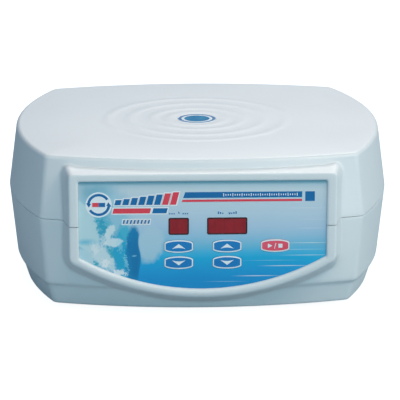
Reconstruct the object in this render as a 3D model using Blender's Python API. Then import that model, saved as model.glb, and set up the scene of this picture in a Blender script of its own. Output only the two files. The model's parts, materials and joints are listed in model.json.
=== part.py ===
# A large-volume digital magnetic stirrer: two plastic shells, a front control panel
# and a motor that spins a pair of magnets under the flat platform.
# The origin is under the stirring axis, at the level that the rubber feet stand on.
# +X is to the right of a person who faces the control panel, and the panel faces -Y.
# Lengths are written in millimetres, and Blender's unit is the metre.

from math import atan2, cos, hypot, pi, radians, sin, sqrt

import bmesh
import bpy
from mathutils import Matrix, Vector

MM = 0.001
GAP = 0.3                       # between pieces that rest on each other

# Plan of the housing at the parting line: four arcs with rounded corners
HALF_WIDTH = 175.0
HALF_DEPTH = 161.0
SIDE_RADIUS = 314.4
FRONT_RADIUS = 484.8
CORNER_RADIUS = 9.0

# Heights of the housing, and how far the outline steps in from the parting line
BOTTOM_Z = 5.0
SHOULDER_Z = 25.0
PARTING_Z = 87.0
TOP_Z = 143.0
BOTTOM_INSET = 14.8
LEDGE_INSET = 9.0
SHOULDER_INSET = 6.0
TOP_INSET = 7.4
RIM_RADIUS = 4.0
WALL = 3.5

# Front bezel and the control panel sunk in it: straight sides and a bowed lower edge
BEZEL_Y = -169.5
PANEL_HALF = 108.0
PANEL_TOP = 127.5
PANEL_RADIUS = 213.7
PANEL_CENTRE_Z = 243.4
BEZEL_RIM = 9.0
BEZEL_TOP = 134.5
BEZEL_CORNER = 11.0
GROOVE = 4.0                    # how far the control plate reaches behind the rim
PLATE_FRONT = -165.4
PLATE_BACK = -162.9
OVERLAY_FRONT = -166.7

# Displays and keys: centre on X, height of the centre
WINDOW_Z = 86.6
WINDOW_HEIGHT = 15.1
WINDOWS = {"time": (-21.1, 17.5), "speed": (21.2, 34.8)}
KEY_WIDTH = 25.2
KEY_HEIGHT = 11.6
KEY_FRONT = -167.1
KEYS = {
    "time_up_key": (-21.1, 68.4),
    "time_down_key": (-21.1, 53.6),
    "speed_up_key": (21.2, 68.4),
    "speed_down_key": (21.2, 53.6),
    "start_stop_key": (63.2, 68.4),
}
BOARD_FRONT = -156.4
BOARD_BACK = -154.8
SWITCH_FRONT = -158.2           # faces of the push switches on the board
STEM_END = -159.0

# Rear connector boss
BOSS_Y = 169.5
SEAT_Y = 164.5
BOSS_HALF = 58.0
BOSS_LOW = 29.0
BOSS_HIGH = 79.0
INLET_X = 24.0
SWITCH_X = -28.0
CONNECTOR_Z = 54.0
ROCKER_TILT = radians(9)        # the mains switch rests in its off position

# Drive: a bent bracket, the motor in it, and the magnets on its shaft
SHAFT_RADIUS = 4.0
BORE_RADIUS = 4.3               # of everything that goes round the shaft
SHAFT_LOW = 18.8
SHAFT_HIGH = 122.0
CAN_RADIUS = 36.0
CAN_LOW = 16.0
CAN_INSIDE = 33.7               # radius inside the can
SEAT_RADIUS = 11.3              # bearing seats
CORE_LOW = 34.0
CORE_HIGH = 62.0
STATOR_BORE = 20.2
ROTOR_RADIUS = 19.5
BRACKET_TOP = 77.0
BRACKET_SHEET = 3.0
BRACKET_HALF = 60.0
BRACKET_DEPTH = 45.0
FLANGE_HALF = 76.0
FLANGE_LOW = 14.3
DISC_Z = 84.0
DISC_TEETH = 16
YOKE_Z = 118.0
YOKE_HEIGHT = 5.0
YOKE_END = 20.0                 # radius of the yoke's round ends
MAGNET_X = 47.0
MAGNET_RADIUS = 18.0

# Power parts
INLET_HALF = 25.0
PIN_LENGTH = (150.8, 164.5)
ROCKER_Y = SEAT_Y - 3.0         # the mains switch turns about this line
POWER_BOARD_TOP = 21.6
PART_LOW = POWER_BOARD_TOP + GAP    # parts stand this high on the power board
FIN_COUNT = 5
FIN_PITCH = 5.5

# Fasteners and feet
SCREW_X = 134.0
SCREW_Y = 84.0
HEAD_RADIUS = 4.0
THREAD_RADIUS = 1.95
HOLE_RADIUS = 2.3
FOOT_X = 112.0
FOOT_Y = 104.0
FOOT_RADIUS = 11.3
BADGE_RADIUS = 17.6
BRACKET_SCREW_X = 68.0
BRACKET_SCREW_Y = 33.0

WHITE = (0.80, 0.83, 0.85)
STEEL = (0.55, 0.56, 0.58)
COPPER = (0.55, 0.22, 0.08)
BLACK = (0.02, 0.02, 0.022)
BLUE = (0.01, 0.12, 0.42)
RED = (0.60, 0.04, 0.08)
BOARD_GREEN = (0.01, 0.12, 0.05)


def clear_scene():
    for old in list(bpy.data.objects):
        bpy.data.objects.remove(old, do_unlink=True)


def material(name, colour, roughness, metallic=0.0):
    made = bpy.data.materials.new(name)
    made.use_nodes = True
    surface = made.node_tree.nodes["Principled BSDF"]
    surface.inputs["Base Color"].default_value = (*colour, 1.0)
    surface.inputs["Roughness"].default_value = roughness
    surface.inputs["Metallic"].default_value = metallic
    return made


def finish(bm, name, colour=WHITE, roughness=0.5, metallic=0.0, origin=(0, 0, 0), round_piece=False):
    """Turn a drawing in millimetres into a named object whose origin is at the given point."""
    bmesh.ops.recalc_face_normals(bm, faces=bm.faces)
    bmesh.ops.translate(bm, vec=-Vector(origin), verts=bm.verts)
    bmesh.ops.scale(bm, vec=(MM, MM, MM), verts=bm.verts)
    mesh = bpy.data.meshes.new(name)
    bm.to_mesh(mesh)
    bm.free()
    made = bpy.data.objects.new(name, mesh)
    made.location = Vector(origin) * MM
    bpy.context.scene.collection.objects.link(made)
    mesh.materials.append(material(name, colour, roughness, metallic))
    if round_piece:
        mesh.shade_smooth()
        mesh.set_sharp_from_angle(angle=0.6)
    return made


def tool(bm, name):
    """A hidden solid that only cuts or adds to another."""
    made = finish(bm, name)
    made.hide_render = True
    made.display_type = "WIRE"
    return made


def combine(target, other, operation):
    step = target.modifiers.new(other.name, "BOOLEAN")
    step.object = other
    step.operation = operation
    step.solver = "EXACT"


def loft(rings):
    """A closed solid through rings that have the same number of points."""
    bm = bmesh.new()
    loops = [[bm.verts.new(point) for point in ring] for ring in rings]
    count = len(loops[0])
    for low, high in zip(loops, loops[1:]):
        for i in range(count):
            j = (i + 1) % count
            bm.faces.new((low[i], low[j], high[j], high[i]))
    bm.faces.new(loops[0])
    bm.faces.new(loops[-1])
    return bm


def closed_loft(rings):
    """Like loft, but the last ring joins the first, as in a washer."""
    bm = bmesh.new()
    loops = [[bm.verts.new(point) for point in ring] for ring in rings]
    count = len(loops[0])
    for low, high in zip(loops, loops[1:] + loops[:1]):
        for i in range(count):
            j = (i + 1) % count
            bm.faces.new((low[i], low[j], high[j], high[i]))
    return bm


def merged(*drawings):
    """Several separate closed drawings in one, for a tool that works in several places."""
    bm = bmesh.new()
    for drawing in drawings:
        scratch = bpy.data.meshes.new("scratch")
        drawing.to_mesh(scratch)
        drawing.free()
        bm.from_mesh(scratch)
        bpy.data.meshes.remove(scratch)
    return bm


def block(x_range, y_range, z_range, bevel=0.0):
    bm = bmesh.new()
    bmesh.ops.create_cube(bm, size=1.0)
    for vert in bm.verts:
        vert.co = [low + (at + 0.5) * (high - low)
                   for at, (low, high) in zip(vert.co, (x_range, y_range, z_range))]
    if bevel:
        bmesh.ops.bevel(bm, geom=bm.edges[:], offset=bevel, segments=1, profile=0.5, affect="EDGES",
                        material=-1)
    return bm


def circle(radius, height, count=24, centre=(0.0, 0.0), axis="Z"):
    """Points of a circle at a height along the axis; centre is on the other two axes in XYZ order."""
    points = []
    for i in range(count):
        angle = 2 * pi * i / count
        a = centre[0] + radius * cos(angle)
        b = centre[1] + radius * sin(angle)
        points.append({"Z": (a, b, height), "Y": (a, height, b), "X": (height, a, b)}[axis])
    return points


def turned(profile, count=24, centre=(0.0, 0.0), axis="Z"):
    """A solid turned from (radius, height) pairs, closed by a flat cap at each end."""
    return loft([circle(radius, height, count, centre, axis) for radius, height in profile])


def washer(profile, count=32, centre=(0.0, 0.0), axis="Z"):
    """A ring turned from a closed profile of (radius, height) pairs."""
    return closed_loft([circle(radius, height, count, centre, axis) for radius, height in profile])


def extruded(outline, low, high, axis="Y"):
    """A flat outline drawn on the other two axes, made solid between two heights on the axis."""
    def at(height):
        if axis == "Y":
            return [(a, height, b) for a, b in outline]
        return [(a, b, height) for a, b in outline]
    return loft([at(low), at(high)])


def swept(route, radius, name, colour):
    """A wire through the given points, as a bevelled curve with filled ends."""
    curve = bpy.data.curves.new(name, "CURVE")
    curve.dimensions = "3D"
    line = curve.splines.new("POLY")
    points = smooth_route(route)
    line.points.add(len(points) - 1)
    for point, at in zip(line.points, points):
        point.co = (*(Vector(at) * MM), 1.0)
    curve.bevel_depth = radius * MM
    curve.bevel_resolution = 2
    curve.use_fill_caps = True
    made = bpy.data.objects.new(name, curve)
    bpy.context.scene.collection.objects.link(made)
    curve.materials.append(material(name, colour, 0.45))
    return made


def smooth_route(route, steps=6):
    """Points on a smooth curve (Catmull-Rom) through the route's own points."""
    ends = [route[0]] + list(route) + [route[-1]]
    points = []
    for i in range(1, len(ends) - 2):
        before, start, end, after = (Vector(ends[i + k]) for k in (-1, 0, 1, 2))
        for k in range(steps):
            t = k / steps
            points.append(0.5 * (2 * start + (end - before) * t
                                 + (2 * before - 5 * start + 4 * end - after) * t ** 2
                                 + (3 * start - before - 3 * end + after) * t ** 3))
    points.append(Vector(route[-1]))
    return points


# ---- Outlines ----

def housing_plan(inset, height, radius=CORNER_RADIUS):
    """The housing's plan outline, stepped in from the parting line, at a height."""
    side = SIDE_RADIUS - inset
    front = FRONT_RADIUS - inset
    side_x = HALF_WIDTH - SIDE_RADIUS           # centre of the right side's arc, on X
    rear_y = HALF_DEPTH - FRONT_RADIUS          # centre of the rear arc, on Y
    apart = hypot(side_x, rear_y)
    along = ((side - radius) ** 2 - (front - radius) ** 2 + apart ** 2) / (2 * apart)
    across = sqrt((side - radius) ** 2 - along ** 2)
    ux, uy = -side_x / apart, rear_y / apart    # from the side arc's centre to the rear arc's
    corner_x = side_x + along * ux - across * uy
    corner_y = along * uy + across * ux
    side_end = atan2(corner_y, corner_x - side_x)
    rear_start = atan2(corner_y - rear_y, corner_x)
    quarter = []
    for i in range(8):
        angle = side_end * i / 8
        quarter.append((side_x + side * cos(angle), side * sin(angle)))
    for i in range(5):
        angle = side_end + (rear_start - side_end) * i / 4
        quarter.append((corner_x + radius * cos(angle), corner_y + radius * sin(angle)))
    for i in range(1, 11):
        angle = rear_start + (pi / 2 - rear_start) * i / 10
        quarter.append((front * cos(angle), rear_y + front * sin(angle)))
    left_rear = [(-x, y) for x, y in quarter[-2::-1]]
    rear = quarter + left_rear
    return [(x, y, height) for x, y in rear + [(x, -y) for x, y in rear[-2:0:-1]]]


def panel_arc(grow, corner=0.0, count=16):
    """The bowed lower edge with its two corners, from left to right, as (x, z) pairs."""
    half = PANEL_HALF + grow
    radius = PANEL_RADIUS + grow
    centre_x = half - corner
    centre_z = PANEL_CENTRE_Z - sqrt((radius - corner) ** 2 - centre_x ** 2)
    swing = atan2(centre_x, PANEL_CENTRE_Z - centre_z)
    right = []
    for i in range(1, count // 2 + 1):
        angle = swing * 2 * i / count
        right.append((radius * sin(angle), PANEL_CENTRE_Z - radius * cos(angle)))
    if corner:
        for i in range(1, 5):
            angle = swing + (pi / 2 - swing) * i / 4
            right.append((centre_x + corner * sin(angle), centre_z - corner * cos(angle)))
    left = [(-x, z) for x, z in reversed(right)]
    return left + [(0.0, PANEL_CENTRE_Z - radius)] + right


def panel_outline(grow, top_grow=None):
    """The whole panel outline, grown on every side."""
    half = PANEL_HALF + grow
    top = PANEL_TOP + (grow if top_grow is None else top_grow)
    return [(-half, top)] + panel_arc(grow) + [(half, top)]


def key_outline(grow):
    """A key: short upright ends and bowed upper and lower edges, as (x, z) about its centre."""
    half = KEY_WIDTH / 2 + grow
    high = KEY_HEIGHT / 2 + grow
    low_end = high - 3.4
    upper = [(half * cos(pi * i / 8), low_end + (high - low_end) * sin(pi * i / 8)) for i in range(9)]
    return upper + [(x, -z) for x, z in reversed(upper)]


# ---- Housing ----

def shell_inside():
    """The hollow of both shells, with the space behind the panel, as one cutter."""
    rings = [housing_plan(BOTTOM_INSET + 2.7, BOTTOM_Z + WALL, 6.0),
             housing_plan(LEDGE_INSET + WALL, SHOULDER_Z - 1.0, 6.0),
             housing_plan(SHOULDER_INSET + WALL, SHOULDER_Z + 5.0, 6.0),
             housing_plan(WALL, PARTING_Z, 6.0),
             housing_plan(TOP_INSET + WALL - 0.5, TOP_Z - WALL - 3.0, 6.0),
             housing_plan(TOP_INSET + WALL + 2.0, TOP_Z - WALL, 6.0)]
    return tool(loft(rings), "housing_hollow")


def panel_cutters():
    """The opening, the groove for the control plate, and the room behind it."""
    return [tool(extruded(panel_outline(0.0), -176.0, -165.9), "panel_opening"),
            tool(extruded(panel_outline(GROOVE), -165.9, -162.4), "panel_groove"),
            tool(extruded(panel_outline(0.6), -162.5, -128.0), "panel_room")]


def bezel_upper():
    """The upper half of the bezel: flat ledge on top, straight sides."""
    def ring(grow, y, top, corner):
        half = PANEL_HALF + BEZEL_RIM + grow
        low = PARTING_Z + GAP / 2
        return [(-half, y, low), (-half, y, top - corner), (-half + corner * 0.3, y, top - corner * 0.3),
                (-half + corner, y, top), (half - corner, y, top),
                (half - corner * 0.3, y, top - corner * 0.3), (half, y, top - corner), (half, y, low)]
    return tool(loft([ring(-2.0, BEZEL_Y, BEZEL_TOP - 2.0, 3.0), ring(0.0, BEZEL_Y + 2.0, BEZEL_TOP, 4.0),
                      ring(6.5, -146.0, BEZEL_TOP, 4.0), ring(6.5, -137.0, BEZEL_TOP, 4.0)]),
                "bezel_upper")


def bezel_lower():
    """The lower half of the bezel, with its bowed lower rim."""
    def ring(grow, y):
        high = PARTING_Z - GAP / 2
        half = PANEL_HALF + BEZEL_RIM + grow
        return [(-half, y, high)] + [(x, y, z) for x, z in panel_arc(BEZEL_RIM + grow, BEZEL_CORNER)] \
            + [(half, y, high)]
    return tool(loft([ring(-2.5, BEZEL_Y), ring(0.0, BEZEL_Y + 2.5), ring(5.0, -148.0), ring(5.0, -138.0)]),
                "bezel_lower")


def corners():
    """The signs and names of the four corners."""
    return ((-1, -1, "front_left"), (1, -1, "front_right"), (-1, 1, "rear_left"), (1, 1, "rear_right"))


def housing():
    hollow = shell_inside()
    openings = panel_cutters()

    top = finish(loft([housing_plan(0.0, PARTING_Z + GAP / 2),
                       housing_plan(TOP_INSET - 0.5, TOP_Z - RIM_RADIUS),
                       housing_plan(TOP_INSET + 0.7, TOP_Z - 1.2),
                       housing_plan(TOP_INSET + 3.5, TOP_Z)]), "top_housing", roughness=0.42)
    combine(top, bezel_upper(), "UNION")
    combine(top, hollow, "DIFFERENCE")
    for cutter in openings:
        combine(top, cutter, "DIFFERENCE")
    posts = [turned([(5.5, PARTING_Z + GAP / 2), (6.5, TOP_Z - 2.0)], 16, (x * SCREW_X, y * SCREW_Y))
             for x, y, _ in corners()]
    combine(top, tool(merged(*posts), "top_posts"), "UNION")
    holes = [turned([(HOLE_RADIUS, PARTING_Z - 2.0), (HOLE_RADIUS, 112.0)], 12, (x * SCREW_X, y * SCREW_Y))
             for x, y, _ in corners()]
    badge_seat = BADGE_RADIUS + 0.4
    holes.append(turned([(badge_seat, TOP_Z - 1.2), (badge_seat, TOP_Z + 1.0)], 40))
    combine(top, tool(merged(*holes), "top_holes"), "DIFFERENCE")

    bottom = finish(loft([housing_plan(BOTTOM_INSET + 1.2, BOTTOM_Z),
                          housing_plan(BOTTOM_INSET - 0.3, BOTTOM_Z + 1.4),
                          housing_plan(LEDGE_INSET, SHOULDER_Z - 1.0),
                          housing_plan(SHOULDER_INSET, SHOULDER_Z),
                          housing_plan(0.0, PARTING_Z - GAP / 2)]), "bottom_housing", roughness=0.42)
    combine(bottom, bezel_lower(), "UNION")
    combine(bottom, rear_boss(), "UNION")
    combine(bottom, hollow, "DIFFERENCE")
    for cutter in openings + rear_cutters():
        combine(bottom, cutter, "DIFFERENCE")
    floor = BOTTOM_Z + 1.5
    posts = [turned([(7.0, floor), (6.5, PARTING_Z - GAP / 2)], 16, (x * SCREW_X, y * SCREW_Y))
             for x, y, _ in corners()]
    posts += [turned([(5.0, floor), (5.0, FLANGE_LOW - GAP)], 16,
                     (x * BRACKET_SCREW_X, y * BRACKET_SCREW_Y)) for x, y, _ in corners()]
    posts += [turned([(4.0, floor), (4.0, 19.7)], 12, at) for at in board_supports()]
    combine(bottom, tool(merged(*posts), "bottom_posts"), "UNION")
    holes = []
    well_radius, well_top = HEAD_RADIUS + 0.5, 60.0      # the housing screws' heads sit up in wells
    foot_seat = FOOT_RADIUS + 0.4
    for x, y, _ in corners():
        holes.append(turned([(well_radius, 3.0), (well_radius, well_top), (HOLE_RADIUS, well_top),
                             (HOLE_RADIUS, 90.0)], 12, (x * SCREW_X, y * SCREW_Y)))
        holes.append(turned([(HOLE_RADIUS, 7.0), (HOLE_RADIUS, 16.0)], 12,
                            (x * BRACKET_SCREW_X, y * BRACKET_SCREW_Y)))
        holes.append(turned([(foot_seat, 3.0), (foot_seat, BOTTOM_Z + 1.5)], 24, (x * FOOT_X, y * FOOT_Y)))
    combine(bottom, tool(merged(*holes), "bottom_holes"), "DIFFERENCE")

    badge = turned([(BADGE_RADIUS, TOP_Z - 0.9), (BADGE_RADIUS, TOP_Z + 0.1),
                    (BADGE_RADIUS - 0.7, TOP_Z + 0.3)], 40)
    finish(badge, "centre_badge", BLUE, 0.25, round_piece=True)
    head_top = well_top - GAP
    for x, y, name in corners():
        screw = turned([(HEAD_RADIUS - 0.4, head_top - 3.3), (HEAD_RADIUS, head_top - 2.7),
                        (HEAD_RADIUS, head_top), (THREAD_RADIUS, head_top), (THREAD_RADIUS, 104.0),
                        (0.6, 108.0)], 12, (x * SCREW_X, y * SCREW_Y))
        finish(screw, "housing_screw_" + name, STEEL, 0.35, 1.0, round_piece=True)
        foot = turned([(FOOT_RADIUS - 1.3, 0.0), (FOOT_RADIUS - 0.3, 1.0), (FOOT_RADIUS, BOTTOM_Z + 1.2)],
                      24, (x * FOOT_X, y * FOOT_Y))
        finish(foot, "foot_" + name, BLACK, 0.85, round_piece=True)


def rear_boss():
    """A raised frame round the power inlet and the mains switch."""
    def ring(grow, y):
        half, low, high, cut = BOSS_HALF + grow, BOSS_LOW - grow, BOSS_HIGH + grow, 5.0
        return [(-half, y, low + cut), (-half, y, high - cut), (-half + cut, y, high),
                (half - cut, y, high), (half, y, high - cut), (half, y, low + cut),
                (half - cut, y, low), (-half + cut, y, low)]
    return tool(loft([ring(3.0, 138.0), ring(0.0, BOSS_Y - 1.5), ring(-1.5, BOSS_Y)]), "rear_boss")


def rear_cutters():
    seat = block((-BOSS_HALF + 5, BOSS_HALF - 5), (SEAT_Y, BOSS_Y + 5), (BOSS_LOW + 5, BOSS_HIGH - 5))
    room = block((-BOSS_HALF + 4, BOSS_HALF - 4), (130, SEAT_Y - WALL), (BOSS_LOW + 4, BOSS_HIGH - 4))
    inlet = block((INLET_X - 14, INLET_X + 14), (150, 170), (CONNECTOR_Z - 15, CONNECTOR_Z + 15))
    switch = block((SWITCH_X - 7.5, SWITCH_X + 7.5), (150, 170), (CONNECTOR_Z - 11, CONNECTOR_Z + 11))
    return [tool(seat, "boss_seat"), tool(room, "boss_room"), tool(inlet, "inlet_hole"),
            tool(switch, "switch_hole")]


# ---- Control panel ----

def control_panel():
    plate = finish(extruded(panel_outline(GROOVE - GAP), PLATE_FRONT, PLATE_BACK), "control_plate",
                   (0.30, 0.31, 0.33), 0.5)
    overlay = finish(extruded(panel_outline(-GAP), OVERLAY_FRONT, PLATE_FRONT - GAP), "control_overlay",
                     (0.05, 0.38, 0.62), 0.3)
    cutouts = []
    for x, width in WINDOWS.values():
        half = width / 2 + GAP
        high = WINDOW_HEIGHT / 2 + GAP
        cutouts.append(block((x - half, x + half), (-172, -160), (WINDOW_Z - high, WINDOW_Z + high)))
    for x, z in KEYS.values():
        cutouts.append(extruded([(x + a, z + b) for a, b in key_outline(GAP)], -172, -160))
    holes = tool(merged(*cutouts), "panel_cutouts")
    combine(plate, holes, "DIFFERENCE")
    combine(overlay, holes, "DIFFERENCE")

    for name, (x, width) in WINDOWS.items():
        pane = block((x - width / 2, x + width / 2), (OVERLAY_FRONT, -163.8),
                     (WINDOW_Z - WINDOW_HEIGHT / 2, WINDOW_Z + WINDOW_HEIGHT / 2), 0.3)
        finish(pane, name + "_window", (0.25, 0.01, 0.02), 0.12)
        half = width / 2 - 1.2
        display = block((x - half, x + half), (-163.4, BOARD_FRONT - GAP),
                        (WINDOW_Z - 7, WINDOW_Z + 7), 0.4)
        finish(display, name + "_display", BLACK, 0.4)
    for name, (x, z) in KEYS.items():
        key(name, x, z)
    board = control_board()
    combine(board, tool(merged(*[block((x - 3, x + 3), (SWITCH_FRONT, BOARD_FRONT + 0.5), (z - 3, z + 3))
                                 for x, z in KEYS.values()]), "push_switches"), "UNION")


def key(name, x, z):
    """A key cap with a flange behind the plate and a stem that reaches its push switch."""
    def ring(y, grow=0.0, radius=None):
        outline = key_outline(grow)
        if radius:
            outline = [(radius * a / hypot(a, b), radius * b / hypot(a, b)) for a, b in outline]
        return [(x + a, y, z + b) for a, b in outline]
    rings = [ring(KEY_FRONT, -0.5), ring(KEY_FRONT + 0.4), ring(-162.6), ring(-162.6, 1.2),
             ring(-161.3, 1.2), ring(-161.3, radius=2.2), ring(STEM_END, radius=2.2)]
    colour = RED if name == "start_stop_key" else BLUE
    finish(loft(rings), name, colour, 0.35, origin=(x, KEY_FRONT, z))


def control_board():
    outline = [(-100, 120), (-100, 62), (-74, 46), (74, 46), (100, 62), (100, 120)]
    board = finish(extruded(outline, BOARD_FRONT, BOARD_BACK), "control_board", BOARD_GREEN, 0.45)
    header = block((52, 76), (BOARD_BACK - 0.5, BOARD_BACK + 4.0), (52, 70))
    combine(board, tool(header, "board_header"), "UNION")
    return board


# ---- Drive ----

def drive():
    inner = BRACKET_HALF - BRACKET_SHEET
    left = [(-FLANGE_HALF, FLANGE_LOW), (-FLANGE_HALF, FLANGE_LOW + BRACKET_SHEET),
            (-BRACKET_HALF, FLANGE_LOW + BRACKET_SHEET), (-BRACKET_HALF, BRACKET_TOP)]
    right = [(-x, z) for x, z in reversed(left)]
    under = [(inner, FLANGE_LOW), (inner, BRACKET_TOP - BRACKET_SHEET),
             (-inner, BRACKET_TOP - BRACKET_SHEET), (-inner, FLANGE_LOW)]
    bracket = finish(extruded(left + right + under, -BRACKET_DEPTH, BRACKET_DEPTH), "motor_bracket",
                     STEEL, 0.4, 1.0)
    screw_places = [(x * BRACKET_SCREW_X, y * BRACKET_SCREW_Y) for x, y, _ in corners()]
    holes = [turned([(14.9, 60), (14.9, 90)], 32)]
    holes += [turned([(2.4, 10), (2.4, 20)], 12, at) for at in screw_places]
    combine(bracket, tool(merged(*holes), "bracket_holes"), "DIFFERENCE")
    seat = FLANGE_LOW + BRACKET_SHEET + GAP
    for number, at in enumerate(screw_places, 1):
        screw = turned([(0.8, 7.6), (THREAD_RADIUS, 9.5), (THREAD_RADIUS, seat), (HEAD_RADIUS, seat),
                        (HEAD_RADIUS, seat + 2.0), (HEAD_RADIUS - 0.6, seat + 2.6)], 12, at)
        finish(screw, "motor_bracket_screw_%d" % number, STEEL, 0.35, 1.0, round_piece=True)
    motor()
    spinning_drive()


def motor():
    under = BRACKET_TOP - BRACKET_SHEET - GAP
    neck = SEAT_RADIUS + 2.7                    # outside of both bearing seats
    floor = CAN_LOW + 2.5
    can = [(5, CAN_LOW), (CAN_RADIUS, CAN_LOW), (CAN_RADIUS, under), (CAN_RADIUS - 2, under),
           (CAN_RADIUS - 2, floor), (neck, floor), (neck, 26), (SEAT_RADIUS, 26), (SEAT_RADIUS, floor),
           (5, floor)]
    finish(washer(can), "motor_can", STEEL, 0.35, 1.0, round_piece=True)
    bell = [(SEAT_RADIUS, 66), (neck, 66), (neck, 70.4), (CAN_INSIDE, 70.4), (CAN_INSIDE, under),
            (neck + 0.3, under), (neck + 0.3, 79), (5, 79), (5, 76.4), (SEAT_RADIUS, 76.4)]
    finish(washer(bell), "motor_end_bell", STEEL, 0.4, 1.0, round_piece=True)
    stator = [(STATOR_BORE, CORE_LOW), (CAN_INSIDE, CORE_LOW), (CAN_INSIDE, CORE_HIGH),
              (STATOR_BORE, CORE_HIGH)]
    finish(washer(stator), "stator_core", (0.25, 0.25, 0.26), 0.5, 1.0, round_piece=True)
    for name, low, high in (("lower_winding", CORE_LOW - 6.5, CORE_LOW - GAP),
                            ("upper_winding", CORE_HIGH + GAP, CORE_HIGH + 6.0)):
        ring = [(21.5, low + 1), (22.5, low), (30.5, low), (31.5, low + 1), (31.5, high - 1), (30.5, high),
                (22.5, high), (21.5, high - 1)]
        finish(washer(ring), name, COPPER, 0.4, 0.6, round_piece=True)
    bearing = SEAT_RADIUS - GAP
    for name, low in (("lower_bearing", floor + GAP), ("upper_bearing", 69.0)):
        ring = [(BORE_RADIUS, low), (bearing, low), (bearing, low + 7), (BORE_RADIUS, low + 7)]
        finish(washer(ring, 24), name, STEEL, 0.2, 1.0, round_piece=True)
    rotor = [(BORE_RADIUS, CORE_LOW), (ROTOR_RADIUS, CORE_LOW), (ROTOR_RADIUS, CORE_HIGH),
             (BORE_RADIUS, CORE_HIGH)]
    finish(washer(rotor, 24), "rotor_core", (0.30, 0.30, 0.31), 0.45, 1.0, round_piece=True)
    shaft = [(SHAFT_RADIUS - 0.8, SHAFT_LOW), (SHAFT_RADIUS, SHAFT_LOW + 1), (SHAFT_RADIUS, SHAFT_HIGH - 1),
             (SHAFT_RADIUS - 0.8, SHAFT_HIGH)]
    finish(turned(shaft, 24), "motor_shaft", STEEL, 0.2, 1.0, round_piece=True)


def toothed_rim(height):
    """The outline of the slotted disc that the speed sensor reads."""
    points = []
    for i in range(DISC_TEETH * 4):
        radius = 24.0 if i % 4 < 2 else 20.0
        angle = 2 * pi * i / (DISC_TEETH * 4)
        points.append((radius * cos(angle), radius * sin(angle), height))
    return points


def spinning_drive():
    outline = []
    for side in (1, -1):
        outline += [(side * (MAGNET_X + YOKE_END * cos(a)), side * YOKE_END * sin(a))
                    for a in (pi * (i / 8 - 0.5) for i in range(9))]
    yoke = finish(extruded(outline, YOKE_Z, YOKE_Z + YOKE_HEIGHT, "Z"), "magnet_yoke", STEEL, 0.4, 1.0)
    combine(yoke, tool(turned([(10, YOKE_Z - 14), (10, YOKE_Z + 1)], 24), "yoke_hub"), "UNION")
    combine(yoke, tool(turned([(BORE_RADIUS, YOKE_Z - 20), (BORE_RADIUS, YOKE_Z + 10)], 24), "yoke_bore"),
            "DIFFERENCE")
    low, high = YOKE_Z + YOKE_HEIGHT + GAP, YOKE_Z + 17
    for name, side in (("drive_magnet_left", -1), ("drive_magnet_right", 1)):
        magnet = turned([(MAGNET_RADIUS - 0.8, low), (MAGNET_RADIUS, low + 0.7), (MAGNET_RADIUS, high - 0.7),
                         (MAGNET_RADIUS - 0.8, high)], 24, (side * MAGNET_X, 0))
        finish(magnet, name, (0.45, 0.45, 0.47), 0.25, 1.0, round_piece=True)
    disc = finish(loft([toothed_rim(DISC_Z), toothed_rim(DISC_Z + 1.2)]), "speed_disc", BLACK, 0.5)
    combine(disc, tool(turned([(8, DISC_Z + 0.8), (8, DISC_Z + 8)], 24), "disc_hub"), "UNION")
    combine(disc, tool(turned([(BORE_RADIUS, DISC_Z - 4), (BORE_RADIUS, DISC_Z + 12)], 24), "disc_bore"),
            "DIFFERENCE")
    fork = [(19, BRACKET_TOP + GAP), (34, BRACKET_TOP + GAP), (34, DISC_Z + 7), (19, DISC_Z + 7),
            (19, DISC_Z + 3.5), (28, DISC_Z + 3.5), (28, DISC_Z - 2.5), (19, DISC_Z - 2.5)]
    finish(extruded(fork, -5, 5), "speed_sensor", BLACK, 0.45)


# ---- Power ----

def board_supports():
    return [(x, y) for x in (92.0, 140.0) for y in (-60.0, 60.0)]


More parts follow.
